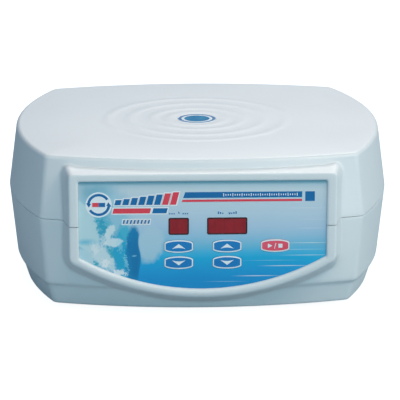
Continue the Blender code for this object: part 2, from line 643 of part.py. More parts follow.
def power_entry():
    low, high = CONNECTOR_Z - 17, CONNECTOR_Z + 17
    inlet = finish(block((INLET_X - INLET_HALF, INLET_X + INLET_HALF), (SEAT_Y + GAP, SEAT_Y + 2.5),
                         (low, high), 0.6), "power_inlet", BLACK, 0.5)
    body = block((INLET_X - 13.7, INLET_X + 13.7), (142, SEAT_Y + 1),
                 (CONNECTOR_Z - 14.7, CONNECTOR_Z + 14.7))
    combine(inlet, tool(body, "inlet_body"), "UNION")
    mouth_low = CONNECTOR_Z - 4.5
    mouth = [(-12, mouth_low), (12, mouth_low), (12, mouth_low + 12), (8, mouth_low + 16.5),
             (-8, mouth_low + 16.5), (-12, mouth_low + 12)]
    drawer_hole = block((INLET_X - 12.3, INLET_X + 12.3), (147.5, 175),
                        (CONNECTOR_Z - 13.3, CONNECTOR_Z - 5.7))
    combine(inlet, tool(merged(extruded([(INLET_X + x, z) for x, z in mouth], 150.5, 175), drawer_hole),
                        "inlet_hollows"), "DIFFERENCE")
    pins = {"live_pin": (-7, 1.5), "neutral_pin": (7, 1.5), "earth_pin": (0, 7.5)}
    for name, (x, z) in pins.items():
        at = (INLET_X + x, CONNECTOR_Z + z)
        finish(block((at[0] - 1, at[0] + 1), PIN_LENGTH, (at[1] - 2, at[1] + 2), 0.3), name,
               (0.75, 0.65, 0.35), 0.25, 1.0)
    drawer = finish(block((INLET_X - 12, INLET_X + 12), (148, SEAT_Y + 3.2),
                          (CONNECTOR_Z - 13, CONNECTOR_Z - 6), 0.3), "fuse_drawer", BLACK, 0.45,
                    origin=(INLET_X, SEAT_Y, CONNECTOR_Z - 9.5))
    cradle = block((INLET_X - 10.5, INLET_X + 10.5), (150, 157), (CONNECTOR_Z - 12, CONNECTOR_Z - 4))
    combine(drawer, tool(cradle, "fuse_cradle"), "DIFFERENCE")
    fuse = turned([(2.6, INLET_X - 10), (2.6, INLET_X + 10)], 12, (153.5, CONNECTOR_Z - 9.0), "X")
    finish(fuse, "fuse", (0.8, 0.82, 0.8), 0.15, round_piece=True)

    switch = finish(block((SWITCH_X - 9.5, SWITCH_X + 9.5), (SEAT_Y + GAP, SEAT_Y + 2.3),
                          (CONNECTOR_Z - 13, CONNECTOR_Z + 13), 0.5), "switch_body", BLACK, 0.45)
    body = block((SWITCH_X - 7.2, SWITCH_X + 7.2), (146, SEAT_Y + 1),
                 (CONNECTOR_Z - 10.7, CONNECTOR_Z + 10.7))
    combine(switch, tool(body, "switch_case"), "UNION")
    well = block((SWITCH_X - 5.9, SWITCH_X + 5.9), (152, 175), (CONNECTOR_Z - 9.4, CONNECTOR_Z + 9.4))
    combine(switch, tool(well, "switch_well"), "DIFFERENCE")
    outline = []
    for i in range(7):
        angle = pi * (0.5 + (i - 3) / 9.4)
        outline.append((ROCKER_Y + 6.2 * sin(angle) - 0.8 * abs(i - 3) / 3, CONNECTOR_Z + 8.4 * cos(angle)))
    outline += [(ROCKER_Y - 2.5, CONNECTOR_Z - 5.5), (ROCKER_Y - 4.0, CONNECTOR_Z),
                (ROCKER_Y - 2.5, CONNECTOR_Z + 5.5)]
    rocker = loft([[(SWITCH_X + side * 5.4, y, z) for y, z in outline] for side in (-1, 1)])
    bmesh.ops.rotate(rocker, verts=rocker.verts, cent=(SWITCH_X, ROCKER_Y, CONNECTOR_Z),
                     matrix=Matrix.Rotation(-ROCKER_TILT, 3, "X"))
    finish(rocker, "switch_rocker", BLACK, 0.35, origin=(SWITCH_X, ROCKER_Y, CONNECTOR_Z))


def power_supply():
    board = finish(block((86, 146), (-68, 68), (POWER_BOARD_TOP - 1.6, POWER_BOARD_TOP)), "power_board",
                   BOARD_GREEN, 0.45)
    headers = [block((108, 132), (-67, -61), (21, 30)), block((88, 96), (44, 64), (21, 30)),
               block((88, 94), (-56, -44), (21, 30))]
    combine(board, tool(merged(*headers), "board_headers"), "UNION")
    finish(block((100, 142), (14, 54), (PART_LOW, 56), 1.0), "transformer", (0.10, 0.10, 0.11), 0.5)
    finish(turned([(9.5, PART_LOW), (11, 23), (11, 50), (10, 51.5)], 20, (102, -12)), "filter_capacitor",
           (0.02, 0.03, 0.10), 0.35, round_piece=True)
    first, fin = 118.0, 1.8
    fins = []
    for i in range(FIN_COUNT):
        x = first + i * FIN_PITCH
        fins += [(x, -18.0), (x + fin, -18.0), (x + fin, -36.0), (x + FIN_PITCH, -36.0)]
    outline = fins[:-1] + [(first + (FIN_COUNT - 1) * FIN_PITCH + fin, -40.0), (first, -40.0)]
    finish(extruded(outline, PART_LOW, 50, "Z"), "heat_sink", (0.05, 0.05, 0.05), 0.5, 0.8)


def wires():
    back = BOARD_BACK + 4.3
    swept([(INLET_X, 141.4, CONNECTOR_Z - 2), (INLET_X, 132, 50), (44, 124, 34), (72, 108, 27),
           (90, 88, 26), (92, 74, 26), (92, 64.6, 26)], 2.0, "mains_lead", BLACK)
    swept([(SWITCH_X, 145.4, CONNECTOR_Z - 2), (SWITCH_X, 134, 48), (-8, 118, 34), (30, 104, 22),
           (62, 80, 22), (74, 60, 25), (80, 54, 26), (87.4, 54, 26)], 1.5, "switch_lead", (0.25, 0.02, 0.02))
    swept([(87.4, -50, 26), (80, -50, 27), (64, -60, 32), (34, -60, 38), (12, -50, 42),
           (10.2, -36.4, 42)], 1.5, "motor_lead", (0.02, 0.05, 0.25))
    route = smooth_route([(64, back, 61), (64, -138, 60), (78, -118, 48), (102, -100, 34),
                          (118, -84, 27), (120, -67.5, 26)], 3)
    rings = []
    for i, at in enumerate(route):
        ahead = route[min(i + 1, len(route) - 1)] - route[max(i - 1, 0)]
        side = Vector((-ahead.y, ahead.x, 0)).normalized() * 0.5
        rings.append([at + side + Vector((0, 0, 3.5)), at - side + Vector((0, 0, 3.5)),
                      at - side - Vector((0, 0, 3.5)), at + side - Vector((0, 0, 3.5))])
    finish(loft(rings), "ribbon_cable", (0.45, 0.46, 0.48), 0.55)


clear_scene()
housing()
control_panel()
drive()
power_entry()
power_supply()
wires()
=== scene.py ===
import json
from math import atan2, copysign, cos, hypot, pi, radians, sin, sqrt

import bmesh
import bpy
import numpy as np
from mathutils import Matrix, Vector


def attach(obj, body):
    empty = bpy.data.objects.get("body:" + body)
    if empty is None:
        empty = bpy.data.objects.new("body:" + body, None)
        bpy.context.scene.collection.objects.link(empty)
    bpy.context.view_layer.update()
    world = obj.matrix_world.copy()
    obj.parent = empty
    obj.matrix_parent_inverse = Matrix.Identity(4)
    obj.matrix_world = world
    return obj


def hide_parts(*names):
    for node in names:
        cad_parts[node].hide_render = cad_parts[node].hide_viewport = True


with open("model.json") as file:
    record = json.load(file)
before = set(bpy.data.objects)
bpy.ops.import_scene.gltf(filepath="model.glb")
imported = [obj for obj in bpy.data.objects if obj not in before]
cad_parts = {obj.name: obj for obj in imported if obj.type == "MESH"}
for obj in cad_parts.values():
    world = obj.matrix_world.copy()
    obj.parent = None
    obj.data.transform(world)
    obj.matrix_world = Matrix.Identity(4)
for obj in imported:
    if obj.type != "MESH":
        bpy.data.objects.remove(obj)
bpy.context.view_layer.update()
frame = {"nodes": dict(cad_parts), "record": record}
nodes = frame["nodes"]
mm = 0.001      # shapes below are drawn in millimetres

housing = {
    "halfWidth": 175.0, "halfDepth": 161.0, "sideRadius": 314.4, "frontRadius": 484.8, "cornerRadius": 9.0,
    "bottomZ": 5.0, "partingZ": 87.0, "topZ": 143.0, "rimRadius": 4.0, "rimInset": 6.9, "partingGap": 0.7,
    "frontEnd": 118.0,
    "wall": 2.6, "edgeRound": 0.45,
}
# height, and how far the wall stands in from the parting line there
wallProfile = [(5.0, 17.0), (5.4, 15.6), (6.4, 14.7), (8.0, 14.2), (21.6, 9.9), (23.2, 9.2), (24.3, 8.4),
               (25.3, 7.4), (26.3, 6.6), (27.4, 6.1), (87.0, 0.0), (139.0, 6.9)]
ripples = {"radii": (26.0, 42.0, 62.5, 83.0), "height": 0.34, "halfWidth": 7.5}
bezel = {
    "frontY": -169.5, "recessY": -165.9, "half": 108.0, "top": 127.5, "arcRadius": 213.7, "arcCentreZ": 243.4,
    "corner": 1.6, "rim": 9.0, "topShare": 0.78, "square": 7.0,
    # side, top and lower edge
    "inner": (1.9, 2.2, 3.0), "outer": (2.4, 1.7, 5.2), "draft": (0.23, 0.03, 0.50), "fillet": (3.0, 0.9, 4.0),
}
# the frame round the power socket, drawn as if it faced the front and then turned to the rear
boss = {
    "frontY": -169.5, "recessY": -164.5, "half": 53.0, "top": 74.0, "low": 34.0, "corner": 2.5, "rim": 5.0,
    "topShare": 1.0, "square": 2.0, "inner": (0.8, 0.8, 0.8), "outer": (1.6, 1.6, 1.6),
    "draft": (0.08, 0.08, 0.08), "fillet": (3.0, 3.0, 3.0),
    "holes": ((-38.0, -10.0, 39.0, 69.0), (20.5, 35.5, 43.0, 65.0)),
}
under = {"screwAt": (134.0, 84.0), "screwHole": 4.5, "postOutside": 7.0, "postTop": 86.0, "headSeat": 60.0,
         "shaftHole": 2.3, "footAt": (112.0, 104.0), "footHole": 11.7, "footSeat": 6.5, "holeLow": 3.0,
         "holeTop": 9.0, "postLow": 6.0}


def wallInset(z):
    heights, insets = zip(*wallProfile)
    return float(np.interp(z, heights, insets))


def fromScreen(red, green, blue):
    # a colour as a screen shows it, in the linear values that shaders take
    def linear(value):
        value /= 255.0
        return value / 12.92 if value <= 0.04045 else ((value + 0.055) / 1.055) ** 2.4
    return linear(red), linear(green), linear(blue)


def connect(tree, source, socket):
    if isinstance(source, bpy.types.NodeSocket):
        tree.links.new(source, socket)
    elif source is not None:
        socket.default_value = source


def addNode(tree, kind, inputs=None, **settings):
    node = tree.nodes.new(kind)
    for key, value in settings.items():
        setattr(node, key, value)
    for key, value in (inputs or {}).items():
        connect(tree, value, node.inputs[key])
    return node


def calc(tree, operation, first, second=None, clamp=False):
    inputs = {0: first, 1: second}
    return addNode(tree, "ShaderNodeMath", inputs, operation=operation, use_clamp=clamp).outputs[0]


def plus(tree, first, second, clamp=False):
    return calc(tree, "ADD", first, second, clamp)


def minus(tree, first, second):
    return calc(tree, "SUBTRACT", first, second)


def times(tree, first, second, clamp=False):
    return calc(tree, "MULTIPLY", first, second, clamp)


def distance(tree, first, second):
    return calc(tree, "SQRT", plus(tree, times(tree, first, first), times(tree, second, second)))


def blendColour(tree, factor, first, second):
    # each colour is a socket, or three linear values
    def full(colour):
        return colour if isinstance(colour, bpy.types.NodeSocket) else (*colour, 1.0)
    inputs = {0: factor, 6: full(first), 7: full(second)}
    return addNode(tree, "ShaderNodeMix", inputs, data_type="RGBA").outputs[2]


def remap(tree, value, low, high, toLow=0.0, toHigh=1.0):
    inputs = {"Value": value, "From Min": low, "From Max": high, "To Min": toLow, "To Max": toHigh}
    return addNode(tree, "ShaderNodeMapRange", inputs).outputs["Result"]


def axes(tree, place):
    return addNode(tree, "ShaderNodeSeparateXYZ", {0: place}).outputs


def objectPlace(tree, scale=(1.0, 1.0, 1.0)):
    place = addNode(tree, "ShaderNodeTexCoord").outputs["Object"]
    return addNode(tree, "ShaderNodeMapping", {"Vector": place, "Scale": scale}).outputs["Vector"]


def noise(tree, place, scale, detail=2.0, roughness=0.5):
    inputs = {"Vector": place, "Scale": scale, "Detail": detail, "Roughness": roughness}
    return addNode(tree, "ShaderNodeTexNoise", inputs).outputs["Fac"]


def newMaterial(name, colour, roughness, metallic=0.0):
    made = bpy.data.materials.new(name)
    made.use_nodes = True
    surface = made.node_tree.nodes["Principled BSDF"]
    surface.inputs["Base Color"].default_value = (*colour, 1.0)
    surface.inputs["Roughness"].default_value = roughness
    surface.inputs["Metallic"].default_value = metallic
    return made, made.node_tree, surface


def coat(tree, surface, colour, shine, height=None):
    # what every finish ends with: a colour, a roughness and a bump whose height is in millimetres
    connect(tree, colour, surface.inputs["Base Color"])
    connect(tree, shine, surface.inputs["Roughness"])
    if height is not None:
        bump = addNode(tree, "ShaderNodeBump", {"Strength": 1.0, "Distance": mm, "Height": height})
        connect(tree, bump.outputs["Normal"], surface.inputs["Normal"])


def newGroup(name, values, results):
    # a group that takes a place and some values, and gives values back
    group = bpy.data.node_groups.new(name, "ShaderNodeTree")
    interface = group.interface
    interface.new_socket(name="Vector", in_out="INPUT", socket_type="NodeSocketVector")
    for label, value in values.items():
        socket = interface.new_socket(name=label, in_out="INPUT", socket_type="NodeSocketFloat")
        socket.default_value = value
    for label in results:
        interface.new_socket(name=label, in_out="OUTPUT", socket_type="NodeSocketFloat")
    start = group.nodes.new("NodeGroupInput")
    end = group.nodes.new("NodeGroupOutput")
    return group, start.outputs, end.inputs


def useGroup(tree, group, place, **inputs):
    return addNode(tree, "ShaderNodeGroup", {"Vector": place, **inputs}, node_tree=group).outputs


def makeTouchGroup():
    # handling: broad mottling, a fine surface grain, and sparse hairline scratches
    group, given, result = newGroup("touchOfUse", {"Mottle": 60.0, "Grain": 2500.0, "Scratch": 0.0},
                                    ("Mottle", "Height", "Scratch"))
    place = given["Vector"]
    broad = noise(group, place, given["Mottle"], 4.0, 0.6)
    fine = noise(group, place, given["Grain"], 2.0, 0.55)
    lines = addNode(group, "ShaderNodeTexVoronoi", {"Vector": place, "Scale": 70.0}, feature="DISTANCE_TO_EDGE")
    thin = remap(group, lines.outputs["Distance"], 0.012, 0.0)
    sparse = times(group, thin, remap(group, noise(group, place, 45.0, 3.0), 0.55, 0.65))
    scratch = times(group, sparse, given["Scratch"], clamp=True)
    connect(group, remap(group, broad, 0.32, 0.68), result["Mottle"])
    connect(group, minus(group, fine, times(group, scratch, 0.8)), result["Height"])
    connect(group, scratch, result["Scratch"])
    return group


def makeBandGroup():
    # evenly spaced bands along Z or rings round it: sheets in a core, turns of wire, ribs, machining marks.
    # Edge marks the grooves between the bands, where shade gets painted
    group, given, result = newGroup("evenBands", {"Pitch": 0.5, "Round": 0.0, "Wander": 0.0}, ("Band", "Edge"))
    x, y, z = axes(group, given["Vector"])
    straight = times(group, z, minus(group, 1.0, given["Round"]))
    along = plus(group, straight, times(group, distance(group, x, y), given["Round"]))
    stray = times(group, minus(group, noise(group, given["Vector"], 120.0), 0.5), given["Wander"])
    turns = calc(group, "DIVIDE", times(group, plus(group, along, stray), 1 / mm), given["Pitch"])
    band = remap(group, calc(group, "SINE", times(group, turns, 2 * pi)), -1.0, 1.0)
    connect(group, band, result["Band"])
    connect(group, remap(group, band, 0.25, 0.0), result["Edge"])
    return group


def makeSplashGroup():
    # one ragged patch of printed artwork, centred at a place on the panel, in millimetres
    values = {"X": 0.0, "Z": 0.0, "Half Width": 10.0, "Half Height": 10.0, "Lean": 0.0, "Softness": 0.3,
              "Ragged": 0.0, "Grain": 0.1}
    group, given, result = newGroup("splashPatch", values, ("Mask",))
    x, _, z = axes(group, given["Vector"])
    up = minus(group, z, given["Z"])
    side = minus(group, minus(group, x, given["X"]), times(group, up, given["Lean"]))
    wide = calc(group, "DIVIDE", side, given["Half Width"])
    high = calc(group, "DIVIDE", up, given["Half Height"])
    rough = minus(group, noise(group, given["Vector"], given["Grain"], 4.0, 0.62), 0.5)
    away = plus(group, distance(group, wide, high), times(group, rough, given["Ragged"]))
    mask = calc(group, "DIVIDE", minus(group, 1.0, away), given["Softness"], clamp=True)
    connect(group, mask, result["Mask"])
    return group


touchOfUse = makeTouchGroup()
evenBands = makeBandGroup()
splashPatch = makeSplashGroup()

# base and worn colour, roughness range, size of the mottling and of the grain (per metre), depth of the
# grain (mm), and where it differs from a plain coat: metal, scratches, stretch of the pattern, even bands
finishes = {
    "shellPlastic": ((0.80, 0.82, 0.83), (0.77, 0.80, 0.81), (0.36, 0.46), 9.0, 1000.0, 0.05,
                     {"scratch": 0.12}),
    "platePlastic": ((0.30, 0.31, 0.33), (0.26, 0.27, 0.29), (0.45, 0.6), 40.0, 2600.0, 0.03, {"scratch": 0.3}),
    "blackPlastic": ((0.022, 0.022, 0.024), (0.045, 0.046, 0.048), (0.38, 0.55), 110.0, 2800.0, 0.05,
                     {"scratch": 0.5}),
    "footRubber": ((0.020, 0.020, 0.022), (0.060, 0.060, 0.060), (0.75, 0.95), 160.0, 3200.0, 0.10,
                   {"scratch": 0.2}),
    "zincPlate": ((0.62, 0.63, 0.62), (0.50, 0.50, 0.47), (0.22, 0.42), 240.0, 1800.0, 0.02,
                  {"metal": 1.0, "scratch": 1.0}),
    "rolledSteel": ((0.60, 0.61, 0.62), (0.47, 0.48, 0.49), (0.25, 0.45), 50.0, 900.0, 0.03,
                    {"metal": 1.0, "scratch": 1.0, "stretch": (0.06, 1.0, 1.0)}),
    "groundSteel": ((0.68, 0.69, 0.70), (0.58, 0.59, 0.60), (0.10, 0.22), 80.0, 2600.0, 0.01,
                    {"metal": 1.0, "scratch": 0.5, "pitch": 0.35, "bandDepth": 0.01}),
    "coreSteel": ((0.30, 0.30, 0.31), (0.20, 0.17, 0.14), (0.35, 0.6), 120.0, 2400.0, 0.03,
                  {"metal": 1.0, "pitch": 0.5, "bandDepth": 0.12}),
    "transformerCore": ((0.10, 0.10, 0.11), (0.05, 0.045, 0.035), (0.25, 0.5), 90.0, 1800.0, 0.04,
                        {"metal": 0.6, "pitch": 0.5, "bandDepth": 0.12}),
    "copperTurns": ((0.62, 0.24, 0.09), (0.34, 0.10, 0.03), (0.18, 0.34), 130.0, 2000.0, 0.02,
                    {"metal": 0.85, "pitch": 0.6, "round": 1.0, "wander": 0.0012, "bandDepth": 0.3}),
    "nickelPlate": ((0.66, 0.64, 0.60), (0.56, 0.54, 0.50), (0.08, 0.2), 150.0, 2200.0, 0.015,
                    {"metal": 1.0, "scratch": 0.7}),
    "pinPlate": ((0.78, 0.68, 0.42), (0.66, 0.60, 0.45), (0.15, 0.35), 300.0, 2600.0, 0.01,
                 {"metal": 1.0, "scratch": 1.0, "stretch": (1.0, 0.08, 1.0)}),
    "displayBlack": ((0.020, 0.020, 0.022), (0.035, 0.030, 0.030), (0.12, 0.25), 70.0, 2600.0, 0.01,
                     {"scratch": 0.3}),
    "cableGrey": ((0.45, 0.46, 0.48), (0.38, 0.39, 0.40), (0.4, 0.55), 60.0, 2600.0, 0.02,
                  {"pitch": 1.27, "bandDepth": 0.35}),
    "blackAnodised": ((0.045, 0.045, 0.047), (0.12, 0.12, 0.12), (0.35, 0.5), 90.0, 1400.0, 0.03,
                      {"metal": 0.8, "scratch": 1.0, "stretch": (1.0, 1.0, 0.05)}),
    "keyBlue": ((0.008, 0.205, 0.54), (0.012, 0.24, 0.58), (0.28, 0.4), 90.0, 2600.0, 0.02, {"scratch": 0.2}),
    "keyRed": ((0.90, 0.085, 0.14), (0.92, 0.12, 0.18), (0.28, 0.4), 90.0, 2600.0, 0.02, {"scratch": 0.2}),
    "frameBlack": ((0.030, 0.010, 0.014), (0.045, 0.014, 0.018), (0.2, 0.3), 90.0, 2600.0, 0.01, {}),
    "badgeBlue": ((0.006, 0.19, 0.42), (0.015, 0.28, 0.52), (0.16, 0.26), 70.0, 2400.0, 0.01, {"scratch": 0.3}),
}
# printing inks, base and worn colour
inks = {
    "inkWhite": ((0.93, 0.95, 0.96), (0.88, 0.92, 0.94)),
    "inkNavy": ((0.004, 0.150, 0.39), (0.008, 0.17, 0.43)),
    "inkRed": ((0.86, 0.052, 0.085), (0.88, 0.075, 0.11)),
    "inkPale": ((0.60, 0.76, 0.83), (0.55, 0.72, 0.80)),
}
# the sleeves of the inner wires
leads = {
    "leadBlack": ((0.020, 0.020, 0.022), (0.040, 0.040, 0.042), (0.4, 0.6)),
    "leadRed": ((0.36, 0.025, 0.022), (0.26, 0.020, 0.020), (0.35, 0.5)),
    "leadBlue": ((0.02, 0.06, 0.32), (0.02, 0.04, 0.22), (0.35, 0.5)),
}
finishes.update({name: (*colours, (0.32, 0.42), 60.0, 2200.0, 0.01, {}) for name, colours in inks.items()})
finishes.update({name: (*values, 90.0, 2400.0, 0.03, {}) for name, values in leads.items()})


def makeFinish(name):
    base, worn, rough, mottle, grain, depth, more = finishes[name]
    made, tree, surface = newMaterial(name, base, 0.5, more.get("metal", 0.0))
    place = objectPlace(tree, more.get("stretch", (1.0, 1.0, 1.0)))
    touch = useGroup(tree, touchOfUse, place, Mottle=mottle, Grain=grain, Scratch=more.get("scratch", 0.0))
    colour = blendColour(tree, touch["Mottle"], base, worn)
    height = times(tree, touch["Height"], depth)
    if "pitch" in more:
        bands = useGroup(tree, evenBands, objectPlace(tree), Pitch=more["pitch"], Round=more.get("round", 0.0),
                         Wander=more.get("wander", 0.0))
        # painted shade: the band edges are darkened, as if shade fell in the grooves between sheets, turns and
        # ribs
        grooveShade = [0.45 * part for part in worn]
        colour = blendColour(tree, bands["Edge"], colour, grooveShade)
        height = plus(tree, height, times(tree, bands["Band"], more["bandDepth"]))
    shine = remap(tree, touch["Mottle"], 0.0, 1.0, *rough)
    shine = plus(tree, shine, times(tree, touch["Scratch"], 0.15), clamp=True)
    coat(tree, surface, colour, shine, height)
    return made


# the panel's artwork: a pale-to-blue fade, darkened at its upper end by painted shadow under the bezel's top
# rim, falling water at the left and thin streaks at the right.
# colours are as the eye sees them, heights and places in millimetres
artwork = {
    "light": (0.577, 0.705, 0.755), "low": 30.0, "high": 128.0, "ripple": 7.0,
    "fade": ((30.0, (15, 122, 181)), (41.0, (17, 131, 189)), (48.0, (20, 140, 194)), (57.0, (18, 152, 198)),
             (62.0, (50, 160, 202)), (69.0, (92, 167, 199)), (77.0, (122, 174, 202)),
             (86.0, (142, 180, 204)), (98.0, (154, 187, 205)), (119.0, (163, 191, 203)),
             # the stops from 123.5 up darken the top of the panel: painted shadow cast by the bezel's upper rim
             (123.5, (148, 182, 197)), (126.0, (105, 158, 175)), (128.0, (84, 144, 164))),
    # x, z, half width, half height, lean, softness, ragged, grain, strength, colour
    "splashes": (
        (-86.0, 84.0, 31.0, 48.0, 0.0, 0.35, 0.5, 0.05, 0.85, (118, 175, 197)),
        # a dark patch in the panel's top-left corner: painted shade under the bezel's rim
        (-98.0, 118.0, 26.0, 12.0, 0.5, 0.9, 0.8, 0.08, 0.75, (94, 154, 176)),
        (-84.0, 108.0, 12.0, 10.0, 0.3, 0.8, 1.2, 0.14, 0.5, (160, 196, 206)),
        (-87.0, 86.0, 11.0, 17.0, -0.25, 0.35, 1.4, 0.20, 0.85, (72, 162, 188)),
        (-105.0, 88.0, 13.5, 25.0, -0.3, 0.10, 0.12, 0.08, 0.85, (160, 198, 207)),
        (-104.0, 60.0, 15.0, 9.0, 0.0, 0.4, 0.5, 0.10, 0.8, (158, 195, 206)),
        (-103.0, 73.0, 13.0, 4.0, 0.0, 0.9, 0.6, 0.10, 0.85, (74, 166, 195)),
        (-87.0, 86.0, 5.0, 8.0, -0.25, 0.5, 6.0, 0.30, 0.85, (34, 142, 174)),
        (-69.0, 80.0, 7.0, 10.0, 0.1, 0.4, 1.2, 0.16, 0.9, (44, 158, 188)),
        (-69.5, 56.0, 10.0, 27.0, -0.25, 0.25, 0.9, 0.14, 0.97, (26, 148, 187)),
        (-60.4, 60.0, 8.0, 31.0, 0.02, 0.25, 0.5, 0.12, 1.0, (15, 116, 166)),
        (-59.0, 58.0, 5.0, 29.0, 0.0, 0.6, 0.4, 0.12, 0.8, (12, 102, 156)),
        (-81.0, 82.0, 4.5, 8.0, 0.3, 0.3, 1.8, 0.26, 0.95, (172, 203, 212)),
        (-78.0, 72.5, 9.0, 4.5, 0.4, 0.3, 1.6, 0.24, 0.95, (172, 203, 213)),
        (-88.0, 59.0, 10.0, 14.0, -0.5, 0.3, 1.3, 0.20, 0.95, (166, 199, 209)),
        (-80.5, 64.0, 2.4, 6.0, -0.3, 0.4, 4.0, 0.40, 0.9, (42, 152, 176)),
        (-85.0, 54.0, 4.0, 3.6, -0.4, 0.4, 5.0, 0.42, 0.75, (204, 220, 228)),
        (-73.0, 45.0, 7.0, 3.4, -0.35, 0.3, 2.4, 0.34, 0.8, (208, 224, 231)),
        (-94.0, 66.0, 3.0, 7.0, -0.3, 0.5, 5.0, 0.42, 0.45, (196, 214, 222)),
        (-93.0, 53.0, 2.4, 2.4, -0.3, 0.4, 5.0, 0.55, 0.9, (34, 148, 172)),
        (-87.0, 74.0, 3.0, 6.0, 0.2, 0.5, 6.0, 0.55, 0.5, (204, 220, 228)),
        (-73.0, 70.0, 2.6, 7.0, -0.2, 0.5, 5.0, 0.50, 0.4, (132, 194, 212)),
        (-67.0, 54.0, 2.0, 8.0, -0.2, 0.5, 5.0, 0.50, 0.6, (120, 194, 214)),
        (-64.0, 70.0, 2.5, 9.0, 0.0, 0.5, 5.0, 0.34, 0.7, (10, 100, 156)),
        (-60.0, 60.0, 2.4, 0.9, 0.8, 0.5, 2.2, 0.5, 0.7, (112, 182, 206)),
    ),
    # where the water ends: place and depth of its wavy edge, and where that edge stops above and at the side
    "water": {"edge": -55.2, "wave": 1.1, "phase": 49.1, "turn": 0.2, "top": (86.0, 90.0),
              "side": (-66.0, -56.0)},
    "beyond": (-46.0, 71.0, 14.0, 19.0, 0.1, 0.3, 0.6, 0.12, 0.85, (146, 185, 203)),
    "streak": (200, 224, 232),
    # x, z, half width, half height, strength
    "streaks": (
        (94.0, 70.8, 26.0, 0.55, 0.6), (84.0, 64.8, 34.0, 0.5, 0.35), (92.0, 59.6, 28.0, 0.6, 0.5),
        (72.0, 50.0, 26.0, 0.6, 0.75), (47.0, 41.0, 24.0, 0.6, 0.75), (90.0, 102.4, 24.0, 0.5, 0.4),
        (95.0, 84.0, 18.0, 0.5, 0.35), (60.0, 55.0, 30.0, 0.4, 0.25), (20.0, 36.0, 22.0, 0.4, 0.3),
        (97.0, 92.0, 18.0, 0.4, 0.25),
    ),
}


def artworkInk(shade):
    # the ink's own colour, without the tint and strength of the light that falls on the panel
    return tuple(min(0.95, part / lit) for part, lit in zip(fromScreen(*shade), artwork["light"]))


def fadeColour(tree, level):
    low, high = artwork["low"], artwork["high"]
    ramp = addNode(tree, "ShaderNodeValToRGB", {"Fac": level})
    stops = ramp.color_ramp.elements
    stops.remove(stops[1])
    for index, (z, shade) in enumerate(artwork["fade"]):
        at = (z - low) / (high - low)
        stop = stops.new(at) if index else stops[0]
        stop.position = at
        stop.color = (*artworkInk(shade), 1.0)
    return ramp.outputs["Color"]


def splash(tree, place, under, x, z, wide, tall, lean, soft, ragged, grain, strength, shade):
    # one patch of another colour, laid over what is there
    sizes = {"Half Width": wide, "Half Height": tall}
    mask = useGroup(tree, splashPatch, place, X=x, Z=z, Lean=lean, Softness=soft, Ragged=ragged, Grain=grain,
                    **sizes)["Mask"]
    return blendColour(tree, times(tree, mask, strength), under, artworkInk(shade))


def makeArtwork():
    made, tree, surface = newMaterial("panelArtwork", (0.2, 0.5, 0.7), 0.35)
    place = objectPlace(tree, (1 / mm, 0.0, 1 / mm))
    x, _, z = axes(tree, place)
    low, high = artwork["low"], artwork["high"]
    # the fade ripples, except near its upper end
    ripple = times(tree, minus(tree, noise(tree, place, 0.03, 3.0), 0.5), artwork["ripple"])
    level = remap(tree, plus(tree, z, ripple), low, high)
    steady = remap(tree, z, low, high)
    fade = fadeColour(tree, plus(tree, times(tree, level, remap(tree, steady, 0.9, 0.8)),
                                 times(tree, steady, remap(tree, steady, 0.8, 0.9))))
    colour = fade
    for patch in artwork["splashes"]:
        colour = splash(tree, place, colour, *patch)
    # the water ends at one crisp, wavy edge, and what lies beyond it is the fade
    water = artwork["water"]
    wave = calc(tree, "SINE", times(tree, minus(tree, z, water["phase"]), water["turn"]))
    edge = plus(tree, times(tree, wave, water["wave"]), water["edge"])
    dry = plus(tree, minus(tree, x, edge), 0.5, clamp=True)
    dry = calc(tree, "MAXIMUM", dry, remap(tree, z, *water["top"]))
    dry = times(tree, dry, remap(tree, x, *water["side"]))
    colour = blendColour(tree, dry, colour, splash(tree, place, fade, *artwork["beyond"]))
    for x, z, wide, tall, strength in artwork["streaks"]:
        colour = splash(tree, place, colour, x, z, wide, tall, 0.0, 0.9, 0.3, 0.2, strength, artwork["streak"])
    touch = useGroup(tree, touchOfUse, objectPlace(tree), Mottle=30.0, Grain=2600.0, Scratch=0.2)
    coat(tree, surface, colour, remap(tree, touch["Mottle"], 0.0, 1.0, 0.34, 0.42),
         times(tree, touch["Height"], 0.02))
    return made


windowFilter = {
    "base": (0.38, 0.013, 0.022), "worn": (0.32, 0.009, 0.016), "digit": (0.20, 0.010, 0.020),
    "digitPitch": 8.4, "digitZ": 86.6, "digitHalf": (5.2, 4.6), "digitShow": 0.35,
}


def makeWindowRed():
    # a red filter: the edges of the digits behind it show as faint upright bars
    made, tree, surface = newMaterial("windowRed", (0.30, 0.02, 0.035), 0.12)
    x, _, z = axes(tree, objectPlace(tree, (1 / mm, 0.0, 1 / mm)))
    wave = calc(tree, "SINE", times(tree, x, 2 * pi / windowFilter["digitPitch"]))
    away = calc(tree, "ABSOLUTE", minus(tree, z, windowFilter["digitZ"]))
    bars = times(tree, remap(tree, wave, 0.55, 0.95), remap(tree, away, *windowFilter["digitHalf"]))
    touch = useGroup(tree, touchOfUse, objectPlace(tree), Mottle=110.0, Grain=1800.0, Scratch=0.2)
    colour = blendColour(tree, touch["Mottle"], windowFilter["base"], windowFilter["worn"])
    colour = blendColour(tree, times(tree, bars, windowFilter["digitShow"]), colour, windowFilter["digit"])
    coat(tree, surface, colour, remap(tree, touch["Mottle"], 0.0, 1.0, 0.10, 0.18),
         times(tree, touch["Height"], 0.01))
    return made


board = {
    "mask": ((0.010, 0.115, 0.050), (0.006, 0.085, 0.038)), "track": (0.022, 0.20, 0.085), "trackScale": 110.0,
    "trackHeight": 0.035, "pad": (0.62, 0.62, 0.60), "padHole": (0.03, 0.03, 0.03), "padScale": 230.0,
    "padHeight": 0.08,
}


